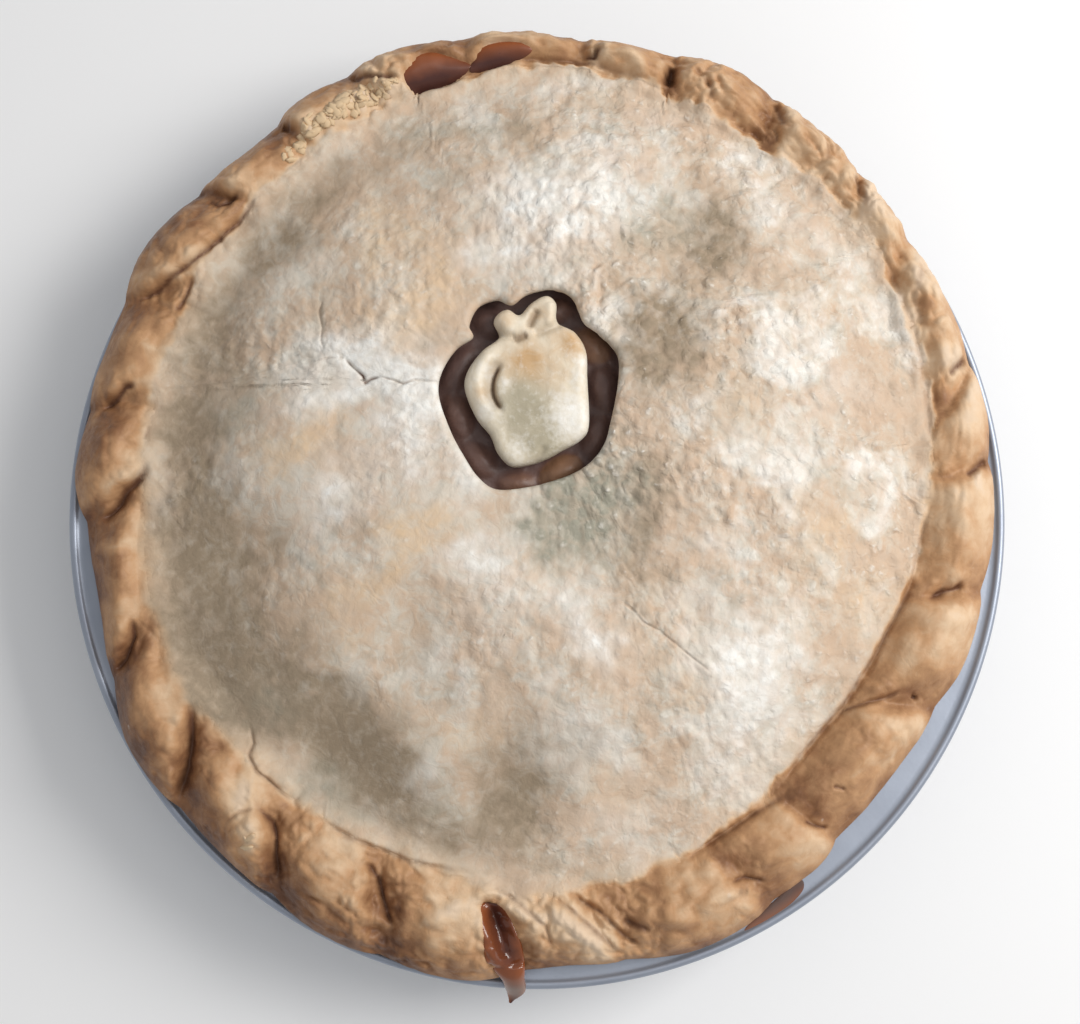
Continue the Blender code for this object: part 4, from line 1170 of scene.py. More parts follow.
def crustFinish():
    material, tree, shader = newFinish("bakedCrust", 0.62, Specular_IOR_Level=0.3)
    place = addNode(tree, "ShaderNodeTexCoord", None, None, 3)
    bake, damp, cool, warm, pale, flour, dark, rough, lidPart = (
        maskOf(tree, name)
        for name in ("bake", "damp", "cool", "warm", "pale", "flour", "dark", "rough", "lid")
    )
    broad = noiseOf(tree, place, 55.0, 4.0, 0.6, 0.5)
    wash = noiseOf(tree, place, 95.0, 5.0, 0.6, 0.8)
    mottle = noiseOf(tree, place, 240.0, 4.0, 0.6, 0.8)
    fine = noiseOf(tree, place, 520.0, 4.0, 0.6)
    drift = addNode(tree, "ShaderNodeTexNoise", None, {"Vector": place, "Scale": 300.0, "Detail": 2.0}, 1)
    bent = addNode(tree, "ShaderNodeVectorMath", {"operation": "MULTIPLY_ADD"}, {
        0: drift, 1: (0.003, 0.003, 0.003), 2: place,
    })
    bubbles = voronoiOf(tree, bent, 330.0)
    beads = voronoiOf(tree, bent, 640.0)
    drops = voronoiOf(tree, place, 95.0)
    heat = bake + (wash - 0.5) * (bake * 0.4 + 0.12) + (mottle - 0.5) * (bake * 0.3 + 0.14)
    heat = heat + (fine - 0.5) * 0.12
    colour = addNode(tree, "ShaderNodeValToRGB", {"stops": [
        (0.0, crustLook["pale"]), (0.26, crustLook["tan"]), (0.52, crustLook["golden"]),
        (0.8, crustLook["brown"]), (1.0, crustLook["dark"]),
    ]}, {0: heat.limited()})
    onLid = (1.0 - bake * 2.0).limited() * lidPart
    speckle = (mottle - 0.5) * 1.1 + (fine - 0.5) * 0.9
    # whiter on the blisters' tops: flour, and partly a painted highlight
    tops = (0.42 - bubbles) * 1.2 + (0.3 - beads) * 0.7 + flour * 0.5 + pale * 0.2 - damp * 0.2
    dotted = (0.08 - drops).between(0.0, 0.05) * (bake * 1.5).limited() * wash.between(0.5, 0.6)
    frosted = ((broad - 0.5) * 7.0 + speckle * 1.3).limited() * onLid
    feed(tree, shader, "Base Color", layered(colour, crustLook, [
        ("peach", (1.0 - heat * 2.6).limited() * (1.0 - lidPart) * 0.8),
        ("blush", mottle.between(0.46, 0.6) * onLid * 0.5),
        ("blush", ((0.56 - broad) * 6.0 + speckle * 1.3).limited() * onLid * 0.75),
        ("frost", frosted * (rough * 0.8).limited()),
        ("cool", ((0.48 - wash) * 5.0 + speckle * 0.6).limited() * onLid * 0.45),
        ("warm", warm * (0.85 + speckle)),
        # grey and cool patches: painted shade of the hollows and of the slopes turned from the light, with
        # the dough's own greyer tone
        ("damp", damp * (0.95 + speckle * 0.8)),
        ("cool", cool * (1.0 + speckle * 1.2)),
        ("frost", pale * (0.85 + speckle * 1.4)),
        ("blush", (bubbles - 0.42).between(0.0, 0.3) * rough * onLid * 0.3),
        ("flour", tops.between(0.1, 0.75) * onLid * (rough * 0.7 + 0.08).limited()),
        ("flour", dotted * 0.55),
        # painted shade in the slits, cracks and folds
        ("dark", dark * 1.15 + (fine - 0.5) * dark),
    ]))
    feed(tree, shader, "Roughness", (0.68 - bake * 0.26 + (fine - 0.5) * 0.2).limited())
    blistered = (0.55 - bubbles).limited() * rough * 1.3 + (0.5 - beads).limited() * rough * 0.5
    bumped(tree, shader, mottle * 0.6 + fine * 0.25 + blistered, 0.6, 0.0009)
    return material


crustMaterial = crustFinish()
lid = makeLid(crustMaterial)
case = makeCase(crustMaterial)
print("crust is made")


# Flaky lumps of dough, scattered where the crust's own mask calls for them

flakeLook = {
    "size": 2.1,            # half a flake's greatest length, in millimetres
    "spacing": 1.2,         # least distance between two flakes' middles
    "perSquareMetre": 900000.0,
    "seed": 7,
    "least": (0.35, 0.3, 0.12),   # a flake's length, width and thickness, as shares of its size
    "most": (1.1, 0.8, 0.32),
    "tilt": 0.2,
    "lid": fromScreen(216, 194, 164),
    "edge": fromScreen(214, 187, 151),
}


def setInputs(modifier, values):  # the modifier's inputs by their names, through their identifiers
    for item in modifier.node_group.interface.items_tree:
        if item.item_type == "SOCKET" and item.in_out == "INPUT" and item.name in values:
            modifier[item.identifier] = values[item.name]


def startGroup(name, wholeNumbers, numbers):  # a geometry nodes tree with its named inputs
    tree = bpy.data.node_groups.new(name, "GeometryNodeTree")
    face = tree.interface
    face.new_socket("Geometry", in_out="INPUT", socket_type="NodeSocketGeometry")
    for title in wholeNumbers:
        face.new_socket(title, in_out="INPUT", socket_type="NodeSocketInt")
    for title in numbers:
        face.new_socket(title, in_out="INPUT", socket_type="NodeSocketFloat")
    face.new_socket("Material", in_out="INPUT", socket_type="NodeSocketMaterial")
    face.new_socket("Geometry", in_out="OUTPUT", socket_type="NodeSocketGeometry")
    entry = tree.nodes.new("NodeGroupInput")
    return tree, {socket.name: Wire(tree, socket) for socket in entry.outputs if socket.name}


def endGroup(tree, geometry, given):  # real faces with the material on them
    real = addNode(tree, "GeometryNodeRealizeInstances", None, {"Geometry": geometry})
    dressed = addNode(tree, "GeometryNodeSetMaterial", None, {
        "Geometry": real, "Material": given["Material"],
    })
    leave = tree.nodes.new("NodeGroupOutput")
    tree.links.new(dressed.socket, leave.inputs[0])
    return tree


def flakeScatter():
    tree, given = startGroup("scattered flakes", ("Seed",), ("Per Square Metre", "Spacing", "Size"))
    share = addNode(tree, "GeometryNodeInputNamedAttribute", {"data_type": "FLOAT"}, {"Name": "flaky"})
    spots = addNode(tree, "GeometryNodeDistributePointsOnFaces", {"distribute_method": "POISSON"}, {
        "Mesh": given["Geometry"], "Distance Min": given["Spacing"], "Density Max": given["Per Square Metre"],
        "Density Factor": share, "Seed": given["Seed"],
    })
    ball = addNode(tree, "GeometryNodeMeshIcoSphere", None, {"Radius": given["Size"], "Subdivisions": 2})
    dents = addNode(tree, "ShaderNodeTexNoise", {"noise_dimensions": "3D"}, {
        "Scale": 600.0, "Detail": 1.0,
    }, 1)
    dent = addNode(tree, "ShaderNodeVectorMath", {"operation": "MULTIPLY_ADD"}, {
        0: dents, 1: (0.003, 0.003, 0.003), 2: (-0.0015, -0.0015, -0.0024),
    })
    flake = addNode(tree, "GeometryNodeSetPosition", None, {"Geometry": ball, "Offset": dent})
    soft = addNode(tree, "GeometryNodeSetShadeSmooth", None, {"Geometry": flake})
    spin = addNode(tree, "FunctionNodeRandomValue", {"data_type": "FLOAT_VECTOR"}, {
        0: (-flakeLook["tilt"], -flakeLook["tilt"], 0.0),
        1: (flakeLook["tilt"], flakeLook["tilt"], 6.283), "Seed": 3,
    })
    turn = addNode(tree, "FunctionNodeEulerToRotation", None, {"Euler": spin})
    turned = addNode(tree, "FunctionNodeRotateRotation", {"rotation_space": "LOCAL"}, {
        "Rotation": Wire(tree, spots.socket.node.outputs["Rotation"]), "Rotate By": turn,
    })
    stretch = addNode(tree, "FunctionNodeRandomValue", {"data_type": "FLOAT_VECTOR"}, {
        0: flakeLook["least"], 1: flakeLook["most"], "Seed": 5,
    })
    placed = addNode(tree, "GeometryNodeInstanceOnPoints", None, {
        "Points": spots, "Instance": soft, "Rotation": turned, "Scale": stretch,
    })
    return endGroup(tree, placed, given)


def makeFlakes(name, ground, colour, group):
    material, tree, shader = newFinish(name, 0.7, Specular_IOR_Level=0.3)
    place = addNode(tree, "ShaderNodeTexCoord", None, None, 3)
    patches = noiseOf(tree, place, 120.0, 4.0)
    feed(tree, shader, "Base Color", colourMix(colour, crustLook["blush"], (patches - 0.5).between(0.0, 0.2)))
    source = bpy.data.objects.new(name, ground.data.copy())
    bpy.context.scene.collection.objects.link(source)
    modifier = source.modifiers.new("scatter", "NODES")
    modifier.node_group = group
    setInputs(modifier, {
        "Seed": flakeLook["seed"], "Per Square Metre": flakeLook["perSquareMetre"],
        "Spacing": flakeLook["spacing"] * mm, "Size": flakeLook["size"] * mm, "Material": material,
    })
    addPiece(name, evaluatedMesh(source, name))


flakeGroup = flakeScatter()
makeFlakes("lidFlakes", lid, flakeLook["lid"], flakeGroup)
makeFlakes("edgeFlakes", case, flakeLook["edge"], flakeGroup)
print("flakes are made")


# Filling

fillingLook = {
    "bedDepth": 2.6,        # of the syrup between the pieces of fruit
    "fruitArch": 2.2,       # how far a piece falls from its middle to its outline
    "shownReach": 27.0,     # how far from the vent's middle the fruit is shaped
    "columns": 160, "shownRings": 52, "hiddenRings": (0.42, 0.52, 0.68, 0.84, 1.0),
    "deep": fromScreen(100, 76, 70),
    "syrupy": fromScreen(118, 86, 74),
    "fruit": fromScreen(134, 98, 72),
}
# Fruit that shows in the vent: x, y, half length, half width, turn, depth, tone
fruit = [
    (-20.0, 34.0, 7.0, 4.0, 60.0, 0.4, 0.1), (-20.0, 22.0, 6.0, 4.0, 110.0, 0.2, 0.35),
    (-15.0, 11.0, 6.0, 4.0, 140.0, 0.6, 0.3), (-5.0, 5.0, 6.0, 3.5, 5.0, 0.9, 0.5),
    (6.0, 8.0, 6.0, 4.0, 30.0, 0.2, 0.8), (15.0, 17.0, 6.0, 4.0, 75.0, 0.4, 0.2),
    (17.0, 29.0, 6.0, 4.0, 100.0, 0.1, 0.15), (14.0, 40.0, 6.0, 4.5, 140.0, 0.5, 0.7),
    (5.0, 49.0, 5.0, 3.5, 20.0, 0.7, 0.4), (-12.0, 46.0, 5.0, 4.0, 150.0, 0.3, 0.05),
]


def fruitHeight(x, y, ceiling):
    middle = crustForm["ventCentre"]
    level = lidHeight(np.array(middle[0]), np.array(middle[1])) - crustForm["ventDepth"]
    surface = np.full(np.shape(x), level - fillingLook["bedDepth"])
    tone = np.zeros(np.shape(x))
    for fruitX, fruitY, halfLength, halfWidth, turn, depth, colour in fruit:
        angle = math.radians(turn)
        along = (x - fruitX) * math.cos(angle) + (y - fruitY) * math.sin(angle)
        beside = (y - fruitY) * math.cos(angle) - (x - fruitX) * math.sin(angle)
        spread = (along / halfLength) ** 2 + (beside / halfWidth) ** 2
        here = level - depth - fillingLook["fruitArch"] * np.minimum(spread, 4.0)
        share = ease((here - surface + 1.0) / 2.0)
        tone = blend(tone, colour, share)
        surface = np.maximum(surface, here) + 0.5 * share * (1.0 - share)
    away = np.hypot(x - middle[0], y - middle[1])
    return surface + (ceiling - surface) * ease((away - fillingLook["shownReach"]) / 8.0), tone


def fillingFinish():
    material, tree, shader = newFinish("appleFilling", 0.5, Coat_Weight=0.1, Coat_Roughness=0.3)
    place = addNode(tree, "ShaderNodeTexCoord", None, None, 3)
    tone = maskOf(tree, "tone")
    soft = noiseOf(tree, place, 220.0, 4.0)
    fine = noiseOf(tree, place, 700.0, 3.0)
    feed(tree, shader, "Base Color", layered(fillingLook["deep"], fillingLook, [
        ("syrupy", tone * 1.6 + (soft - 0.5) * 0.9),
        ("fruit", (tone - 0.35 + (soft - 0.5) * 0.5).between(0.0, 0.5)),
    ]))
    bumped(tree, shader, soft + fine * 0.3, 0.35, 0.001)
    return material


def makeFilling():
    middle = np.array(crustForm["ventCentre"])
    columns = fillingLook["columns"]
    angles = np.linspace(0.0, 360.0, columns, endpoint=False)
    inner = np.array([math.hypot(*foldPoint(np.array(a))[:2]) for a in angles]) - 6.0
    edgeRadius = np.minimum(inner, wallRadius(flangeTop) - crustForm["wall"]) - 1.0
    edge = polar(edgeRadius, angles, 0.0)[:, :2]
    rings, tones = [], []
    shown = np.linspace(0.01, 0.34, fillingLook["shownRings"])
    for share in np.concatenate([shown, fillingLook["hiddenRings"]]):
        plan = blend(middle[None, :], edge, share)
        ceiling = lidHeight(*plan.T) - crustForm["lidThickness"] - 1.2
        surface, tone = fruitHeight(*plan.T, ceiling)
        spot = np.column_stack([plan, np.minimum(ceiling, surface)])
        spot[:, 2] += 0.25 * grain(spot, 2.2, 41) - 0.25
        rings.append(spot)
        tones.append(tone)
    base = tinForm["wall"] + crustForm["gap"] + crustForm["wall"] + 0.5
    for height in (28.0, base + tinForm["corner"], base):
        shrink = crustForm["wall"] + 1.0 + (tinForm["corner"] * 0.6 if height == base else 0.0)
        radius = np.minimum(wallRadius(height) - shrink, edgeRadius)
        rings.append(polar(radius, angles, height))
        tones.append(np.zeros(columns))
    grid = np.array(rings)
    poles = ((*middle, grid[0, :, 2].mean()), (0.0, 0.0, base))
    mesh = ringsToMesh("appleFilling", grid, poles=poles, masks={"tone": np.array(tones)})
    addPiece("appleFilling", mesh, "filling", fillingFinish())


makeFilling()
print("filling is made")


# Dough apple

appleLook = {
    "thickness": 4.4, "rounding": 2.6, "voxel": 0.4,
    "tips": [(-7.9, 45.0, 2.4, 0.8)],     # raised tip of the leaf: x, y, radius, height
    "pale": fromScreen(232, 220, 198), "tan": fromScreen(204, 166, 120), "shade": fromScreen(176, 166, 142),
    "white": fromScreen(248, 245, 238), "groove": fromScreen(112, 84, 56),
}
appleStrokes = [   # path, width, height (below 0 for a groove), how dark it is: painted shade in the groove
    ([(-9.2, 34.0), (-10.7, 30.6), (-10.8, 26.6), (-8.8, 22.6)], 0.6, -1.8, 1.0),
    ([(-10.0, 35.4), (-11.8, 30.8), (-11.8, 26.6), (-9.6, 22.4)], 1.5, -1.3, 0.35),
    ([(-11.6, 37.1), (-14.6, 30.9), (-13.0, 24.7), (-9.1, 21.6)], 1.9, 0.9, 0.0),
    ([(-5.8, 40.2), (-4.0, 41.0), (-2.4, 41.6)], 1.0, -1.3, 0.7),
    ([(-10.6, 42.6), (-8.0, 41.4), (-5.4, 41.0)], 1.0, -1.3, 0.2),
    ([(-1.0, 42.0), (2.4, 43.0), (6.0, 44.6)], 1.1, -1.4, 0.25),
    ([(-2.0, 43.4), (-1.2, 45.6), (0.2, 48.0)], 1.0, -1.4, 0.6),
    ([(2.8, 43.8), (3.8, 47.0), (3.2, 50.0)], 1.4, 0.8, 0.0),
    ([(-8.4, 31.4), (-7.6, 28.0)], 1.1, 0.25, 0.0),
    ([(2.0, 13.6), (0.6, 11.0), (-0.4, 9.0)], 0.9, -0.8, 0.15),
]
appleSpots = {   # x, y, radius, strength; shade is painted shade over the lower half, white is the dough's whiteness and partly a painted highlight on its lit edges
    "bake": [(8.3, 39.5, 3.8, 1.0), (-2.7, 34.5, 6.0, 1.0), (-7.9, 45.0, 2.6, 0.5), (0.5, 46.5, 3.0, 0.5),
             (-14.0, 27.0, 2.5, 0.4), (5.0, 31.0, 4.0, 0.35)],
    "shade": [(-1.5, 18.5, 8.0, 1.0), (-4.0, 26.0, 5.5, 0.8), (3.0, 13.5, 5.0, 0.6)],
    "white": [(9.0, 21.0, 5.5, 1.0), (11.4, 35.0, 2.0, 0.6), (-5.0, 13.0, 3.0, 0.5), (-12.6, 22.5, 3.0, 0.6),
              (-13.4, 32.0, 3.0, 0.5), (-7.6, 29.2, 1.4, 0.7), (10.5, 31.0, 2.5, 0.4)],
}


def doughFinish():
    material, tree, shader = newFinish("paleDough", 0.6)
    place = addNode(tree, "ShaderNodeTexCoord", None, None, 3)
    bake, shade, white, dark = (maskOf(tree, name) for name in ("bake", "shade", "white", "dark"))
    soft = noiseOf(tree, place, 220.0, 4.0, 0.6, 0.6)
    fine = noiseOf(tree, place, 650.0, 3.0)
    feed(tree, shader, "Base Color", layered(appleLook["pale"], appleLook, [
        ("tan", bake * (0.5 + soft) + (soft - 0.5) * 0.7),
        # painted shade on the lower half, and white partly a painted highlight on the lit edges
        ("shade", shade * (0.5 + soft)),
        ("white", white * (0.4 + soft) + (fine - 0.55) * 1.2),
        ("groove", dark),
    ]))
    bumped(tree, shader, soft + fine * 0.5, 0.45, 0.0006)
    return material


def evenApple(outline, bottom):  # a slab of dough cut to the outline, in small even faces
    builder = bmesh.new()
    base = builder.faces.new([builder.verts.new((x * mm, y * mm, bottom * mm)) for x, y in outline])
    raised = bmesh.ops.extrude_face_region(builder, geom=[base])
    lifted = [item for item in raised["geom"] if isinstance(item, bmesh.types.BMVert)]
    bmesh.ops.translate(builder, verts=lifted, vec=(0.0, 0.0, appleLook["thickness"] * mm))
    bmesh.ops.recalc_face_normals(builder, faces=builder.faces)
    mesh = bpy.data.meshes.new("doughSlab")
    builder.to_mesh(mesh)
    builder.free()
    slab = bpy.data.objects.new("doughSlab", mesh)
    bpy.context.scene.collection.objects.link(slab)
    remesh = slab.modifiers.new("even", "REMESH")
    remesh.mode = "VOXEL"
    remesh.voxel_size = appleLook["voxel"] * mm
    smooth = slab.modifiers.new("soften", "SMOOTH")
    smooth.factor = 0.5
    smooth.iterations = 4
    return evaluatedMesh(slab, "doughApple")


def makeDoughApple():
    middle = np.array(crustForm["ventCentre"])
    bottom = float(lidHeight(*middle)) - crustForm["ventDepth"] + crustForm["gap"]
    outline = roundedOutline(appleOutline, 8)
    mesh = evenApple(outline, bottom)
    places = np.zeros(len(mesh.vertices) * 3)
    mesh.vertices.foreach_get("co", places)
    places = places.reshape(-1, 3) / mm
    x, y, z = places.T
    share = np.clip(insideDistance(x, y, outline) / appleLook["rounding"], 0.0, 1.0)
    puff = np.sqrt(np.clip(1.0 - (1.0 - share) ** 2, 0.0, 1.0))
    rise = np.clip((z - bottom) / appleLook["thickness"], 0.0, 1.0)
    z = bottom + appleLook["thickness"] * rise * (0.45 + 0.55 * puff)
    dark = np.zeros_like(z)
    for path, width, lift, darkness in appleStrokes:
        far, along = strokeDistance(x, y, smoothRows(path, 10))
        mask = bell(far, width) * rise * ease(along * 4.0 + 0.3) * ease((1.0 - along) * 4.0 + 0.3)
        z += lift * mask
        dark = np.maximum(dark, mask * darkness)
    z += (0.3 * grain(places, 6.0, 51) + 0.12 * grain(places, 2.5, 52)) * rise
    for tipX, tipY, size, lift in appleLook["tips"]:
        z += lift * rise * bell(np.hypot(x - tipX, y - tipY), size)
    mesh.vertices.foreach_set("co", (np.column_stack([x, y, z]) * mm).reshape(-1))
    masks = {name: spotted(x, y, spots) for name, spots in appleSpots.items()}
    masks["dark"] = dark
    for name, values in masks.items():
        addMask(mesh, name, np.clip(values, 0.0, 1.0))
    mesh.shade_smooth()
    addPiece("doughApple", mesh, "dough_apple", doughFinish())


makeDoughApple()
print("dough apple is made")


# Syrup

syrupLook = {
    "amber": fromScreen(150, 84, 46),
    "deep": fromScreen(74, 40, 34),
    "clear": fromScreen(122, 106, 94),
    "roughness": 0.12,
    "lyingTip": 30.0,       # a row tipped less than this lies on the crust
    "dripRings": 60, "dripSides": 36, "poolRings": 22,
    "pocketDepth": 0.7, "smearDepth": 0.02,     # how far a pool reaches into what it lies on
    "smearClear": 0.35,
}
# The run over the edge: pixel of the photo, half width, thickness, how far its face tips outward,
# height above the table (none while it lies on the crust), how dark its core is, how clear it is
dripRows = [
    (493.0, 903.0, 2.6, 0.1, 0.0, None, 1.0, 0.0),
    (494.0, 909.0, 3.6, 0.9, 0.0, None, 1.0, 0.0),
    (497.0, 921.0, 4.4, 1.8, 5.0, None, 1.0, 0.0),
    (502.0, 940.0, 4.9, 2.3, 12.0, None, 0.9, 0.0),
    (505.0, 957.0, 4.9, 2.2, 25.0, None, 0.7, 0.0),
    (509.0, 969.0, 4.0, 1.9, 45.0, 39.8, 0.4, 0.0),
    (513.0, 978.0, 3.0, 1.9, 60.0, 37.5, 0.5, 0.35),
    (515.0, 985.0, 2.8, 1.8, 75.0, 35.0, 0.6, 0.6),
    (515.5, 991.0, 2.3, 1.4, 80.0, 33.2, 0.8, 0.4),
    (512.0, 998.0, 0.9, 0.7, 85.0, 32.0, 1.0, 0.0),
    (510.5, 1002.0, 0.4, 0.3, 85.0, 31.6, 1.0, 0.0),
]


def syrupFinish():
    material, tree, shader = newFinish(
        "syrup", syrupLook["roughness"], Coat_Weight=0.2, Coat_Roughness=0.05, Specular_IOR_Level=0.35
    )
    place = addNode(tree, "ShaderNodeTexCoord", None, None, 3)
    core, clear = maskOf(tree, "core"), maskOf(tree, "clear")
    soft = noiseOf(tree, place, 160.0, 3.0)
    feed(tree, shader, "Base Color", layered(syrupLook["amber"], syrupLook, [
        ("deep", core + (soft - 0.5) * 0.5),
        ("clear", clear * soft * 1.6),
    ]))
    feed(tree, shader, "Roughness", maskOf(tree, "dull") * 0.45 + syrupLook["roughness"])
    bumped(tree, shader, soft, 0.12, 0.0006)
    return material


def dripPlace(px, py, height):  # where a row of the drip lies, on the crust where it has no height of its own
    if height is not None:
        return (*photoPlace(px, py, height), height)
    height = crustForm["edgeTop"] - 0.5
    for step in range(2):
        x, y = photoPlace(px, py, height)
        height = float(crustHeight(np.array([x]), np.array([y]))[0])
    return x, y, height


def makeDrip(material):
    rows = [
        (*dripPlace(px, py, height), halfWidth, thickness, tip, core, clear)
        for px, py, halfWidth, thickness, tip, height, core, clear in dripRows
    ]
    x, y, z, halfWidth, thickness, tip, core, clear = smoothRows(
        rows, syrupLook["dripRings"]
    ).T[:, :, None]
    sides = np.radians(np.linspace(0.0, 360.0, syrupLook["dripSides"], endpoint=False))
    outward = np.arctan2(y, x)
    lean = np.radians(tip)
    across = np.cos(sides)[None, :] * np.maximum(halfWidth, 0.1)
    upper = np.sin(sides) > 0.0
    lift = np.where(upper, np.sin(sides) * thickness, np.sin(sides) * 0.8 * np.minimum(thickness, 1.4))
    ringX = x - np.sin(outward) * across + np.sin(lean) * np.cos(outward) * lift
    ringY = y + np.cos(outward) * across + np.sin(lean) * np.sin(outward) * lift
    ringZ = z + np.cos(lean) * lift
    over = np.clip(np.sin(sides), 0.0, 1.0) ** 0.6 * thickness
    lying = crustHeight(ringX, ringY) + over - 0.5 * ~upper
    ringZ = np.where(tip < syrupLook["lyingTip"], blend(ringZ, lying, 0.8), ringZ)
    grid = np.stack([ringX, ringY, ringZ], axis=-1)
    masks = {
        "core": np.clip(core * bell(np.cos(sides)[None, :] - 0.15, 0.75), 0.0, 1.0),
        "clear": clear + 0.0 * across, "dull": 0.0 * across * lift,
    }
    poles = (grid[0].mean(axis=0), grid[-1].mean(axis=0))
    mesh = ringsToMesh("syrupDrip", grid, poles=poles, masks=masks)
    addPiece("syrupDrip", mesh, "syrup_drip", material)


def poolFloor(place, height):  # what a pool lies on
    if height is not None:
        return np.full(len(place), height)
    return edgeHeight(*place.T)[0] + 0.25 * grain(onPlan(*place.T), 4.0, 121)


def makePool(name, pixels, thickness, height, node, material):
    outline = poolOutline(pixels, height)
    middle = outline.mean(axis=0)
    depth, clear = syrupLook["smearDepth"], syrupLook["smearClear"]
    if height is None:
        depth, clear = syrupLook["pocketDepth"], 0.0
    shares = np.sin(np.linspace(0.04, 1.0, syrupLook["poolRings"]) * np.pi / 2.0)
    upper = [(share, thickness * math.sqrt(1.0 - share ** 2) + 0.02) for share in shares]
    rings = []
    for share, rise in upper + [(share, -depth) for share in (0.98, 0.6, 0.2)]:
        place = blend(middle, outline, share)
        rings.append(np.column_stack([place, poolFloor(place, height) + rise]))
    grid = np.array(rings)
    radius = np.hypot(grid[..., 0], grid[..., 1])
    # pools are darker towards the lid: painted shade under the lid's edge
    core = ease((radius.max() - radius) / max(radius.max() - radius.min(), 0.1)) * 1.2
    masks = {
        "core": np.clip(core, 0.0, 1.0), "clear": np.full(core.shape, clear), "dull": np.ones(core.shape),
    }
    poles = (grid[0].mean(axis=0), grid[-1].mean(axis=0))
    mesh = ringsToMesh(name, grid, poles=poles, masks=masks)
    addPiece(name, mesh, node, material)


syrupMaterial = syrupFinish()
makeDrip(syrupMaterial)
for poolName, (pixels, thickness, height, node) in syrupPools.items():
    makePool(poolName, pixels, thickness, height, node, syrupMaterial)
print("syrup is made")


# Foil tin

tinLook = {
    "steps": 480,
    "beadStart": 128.0,     # degrees round the rolled bead's own middle, and how far it rolls
    "beadSweep": 286.0,
    "beadSteps": 20,
    "wrinkleHeight": 0.12,
    "wrinkleSize": 14.0,
    "seed": 5.0,
    "foil": fromScreen(172, 179, 191),
    "worn": fromScreen(142, 149, 163),
}


def tinFinish():
    material, tree, shader = newFinish("tinFoil", 0.45, 0.55)
    place = addNode(tree, "ShaderNodeTexCoord", None, None, 3)
    soft = noiseOf(tree, place, 60.0, 3.0)
    fine = noiseOf(tree, place, 900.0, 2.0)
    feed(tree, shader, "Base Color", colourMix(tinLook["foil"], tinLook["worn"], soft.limited()))
    feed(tree, shader, "Roughness", (0.42 + (soft - 0.5) * 0.2).limited())
    bumped(tree, shader, fine, 0.12, 0.0002)
    return material


def tinProfile():  # half of the tin's outline, from the middle of its inside to the middle of its base
    top = flangeTop
    wall = tinForm["wall"]
    corner = tinForm["corner"]
    beadMiddle = tinForm["rimRadius"] - tinForm["bead"]
    beadHeight = tinForm["height"] - tinForm["bead"]
    corners = [
        (0.0, wall, 0), (tinForm["baseRadius"] - corner, wall, 12), (wallRadius(corner), corner, 5),
        (wallRadius(top), top - 1.0, 16), (tinForm["mouthRadius"] + 0.4, top, 4), (beadMiddle - 1.6, top, 10),
        (beadMiddle - 1.0, top + 0.25, 2),
    ]
    profile = [corners[0][:2]]
    for (r0, z0, before), (r1, z1, count) in zip(corners[:-1], corners[1:]):
        shares = [step / count for step in range(1, count + 1)]
        profile += [(blend(r0, r1, share), blend(z0, z1, share)) for share in shares]
    for step in range(tinLook["beadSteps"] + 1):
        angle = math.radians(tinLook["beadStart"] - tinLook["beadSweep"] * step / tinLook["beadSteps"])
        profile.append((
            beadMiddle + tinForm["bead"] * math.cos(angle), beadHeight + tinForm["bead"] * math.sin(angle),
        ))
    under = [(beadMiddle - 1.3, top - wall), (tinForm["mouthRadius"] + wall, top - wall)]
    under += [
        (wallRadius(height) + 2.0 * wall, height)
        for height in np.linspace(top - wall - 1.2, corner, 16)
    ]
    under += [(blend(tinForm["baseRadius"] - corner, 0.0, share), 0.0) for share in np.linspace(0.0, 1.0, 9)]
    return profile + under


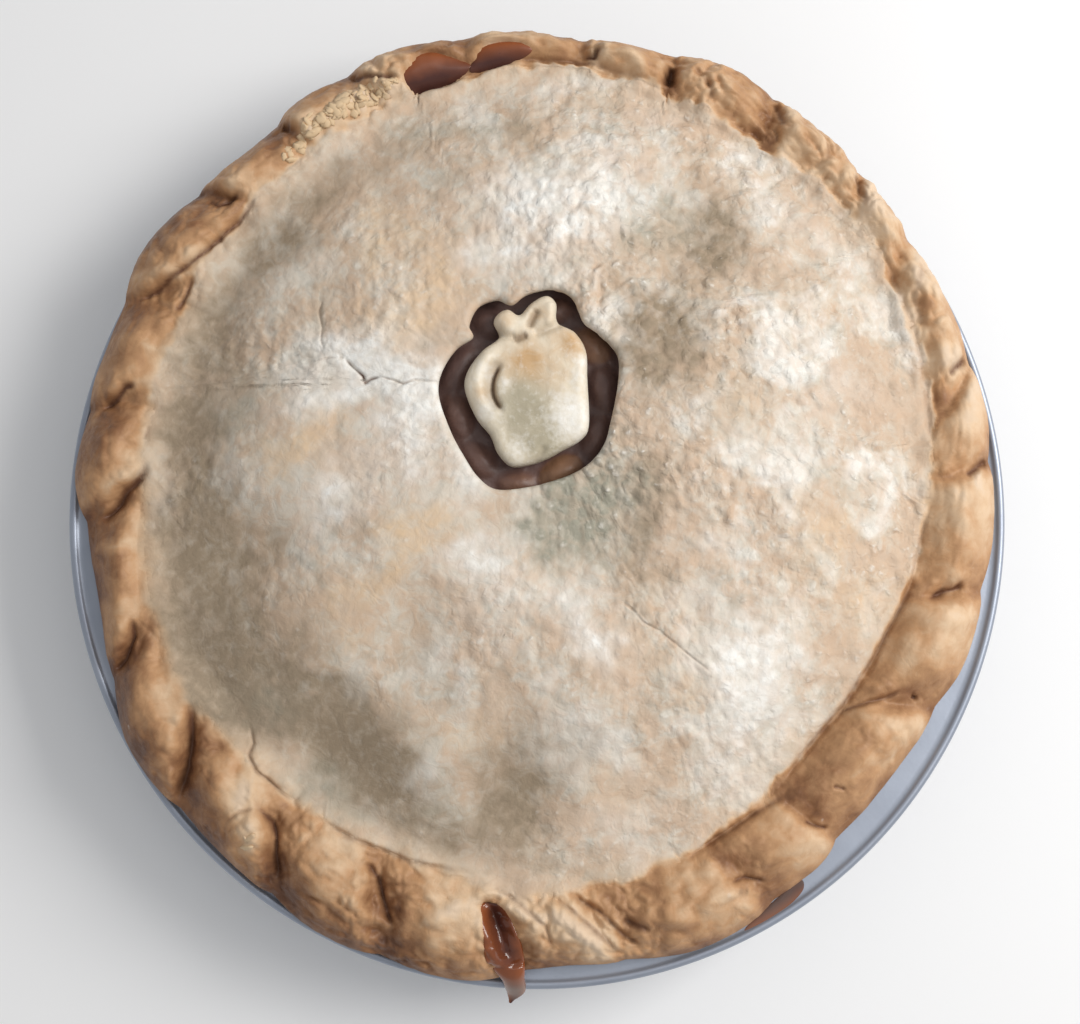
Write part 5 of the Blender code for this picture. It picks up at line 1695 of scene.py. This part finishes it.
def tinTurner():  # geometry nodes: turns the profile's points round the axis, with faint wrinkles
    tree, given = startGroup("turned tin", ("Points", "Steps"), ("Wrinkle Height", "Wrinkle Scale", "Seed"))
    sheet = addNode(tree, "GeometryNodeMeshGrid", None, {
        "Size X": 1.0, "Size Y": 1.0, "Vertices X": given["Points"], "Vertices Y": given["Steps"],
    })
    place = addNode(tree, "GeometryNodeInputPosition")
    parts = tree.nodes.new("ShaderNodeSeparateXYZ")
    tree.links.new(place.socket, parts.inputs[0])
    column = (Wire(tree, parts.outputs[0]) + 0.5) * (given["Points"] - 1.0)
    turn = (Wire(tree, parts.outputs[1]) + 0.5) * (2.0 * math.pi)
    spot = addNode(tree, "GeometryNodeSampleIndex", {"data_type": "FLOAT_VECTOR", "domain": "POINT"}, {
        "Geometry": given["Geometry"], "Value": place, "Index": column.sum("ROUND", column, 0.0),
    })
    spotParts = tree.nodes.new("ShaderNodeSeparateXYZ")
    tree.links.new(spot.socket, spotParts.inputs[0])
    radius = Wire(tree, spotParts.outputs[0])
    height = Wire(tree, spotParts.outputs[2])
    turned = addNode(tree, "ShaderNodeCombineXYZ", None, {
        0: radius * radius.sum("COSINE", turn, 0.0), 1: radius * radius.sum("SINE", turn, 0.0), 2: height,
    })
    waves = addNode(tree, "ShaderNodeTexNoise", {"noise_dimensions": "4D"}, {
        "Vector": turned, "W": given["Seed"], "Scale": given["Wrinkle Scale"], "Detail": 2.0,
    })
    lift = (waves - 0.5) * given["Wrinkle Height"] * (radius - 0.095).between(0.0, 0.012)
    wrinkled = addNode(tree, "ShaderNodeCombineXYZ", None, {2: lift})
    placed = addNode(tree, "ShaderNodeVectorMath", {"operation": "ADD"}, {0: turned, 1: wrinkled})
    shaped = addNode(tree, "GeometryNodeSetPosition", None, {"Geometry": sheet, "Position": placed})
    merged = addNode(tree, "GeometryNodeMergeByDistance", None, {"Geometry": shaped, "Distance": 0.00001})
    smooth = addNode(tree, "GeometryNodeSetShadeSmooth", None, {"Geometry": merged})
    return endGroup(tree, smooth, given)


def makeTin():
    material = tinFinish()
    profile = tinProfile()
    mesh = bpy.data.meshes.new("tinProfile")
    mesh.from_pydata([(radius * mm, 0.0, height * mm) for radius, height in profile], [], [])
    source = bpy.data.objects.new("tinProfile", mesh)
    bpy.context.scene.collection.objects.link(source)
    modifier = source.modifiers.new("turn", "NODES")
    modifier.node_group = tinTurner()
    setInputs(modifier, {
        "Points": len(profile), "Steps": tinLook["steps"] + 1,
        "Wrinkle Height": tinLook["wrinkleHeight"] * mm,
        "Wrinkle Scale": 1.0 / (tinLook["wrinkleSize"] * mm), "Seed": tinLook["seed"], "Material": material,
    })
    addPiece("foilTin", evaluatedMesh(source, "foilTin"), "pie_tin")


makeTin()
print("tin is made")
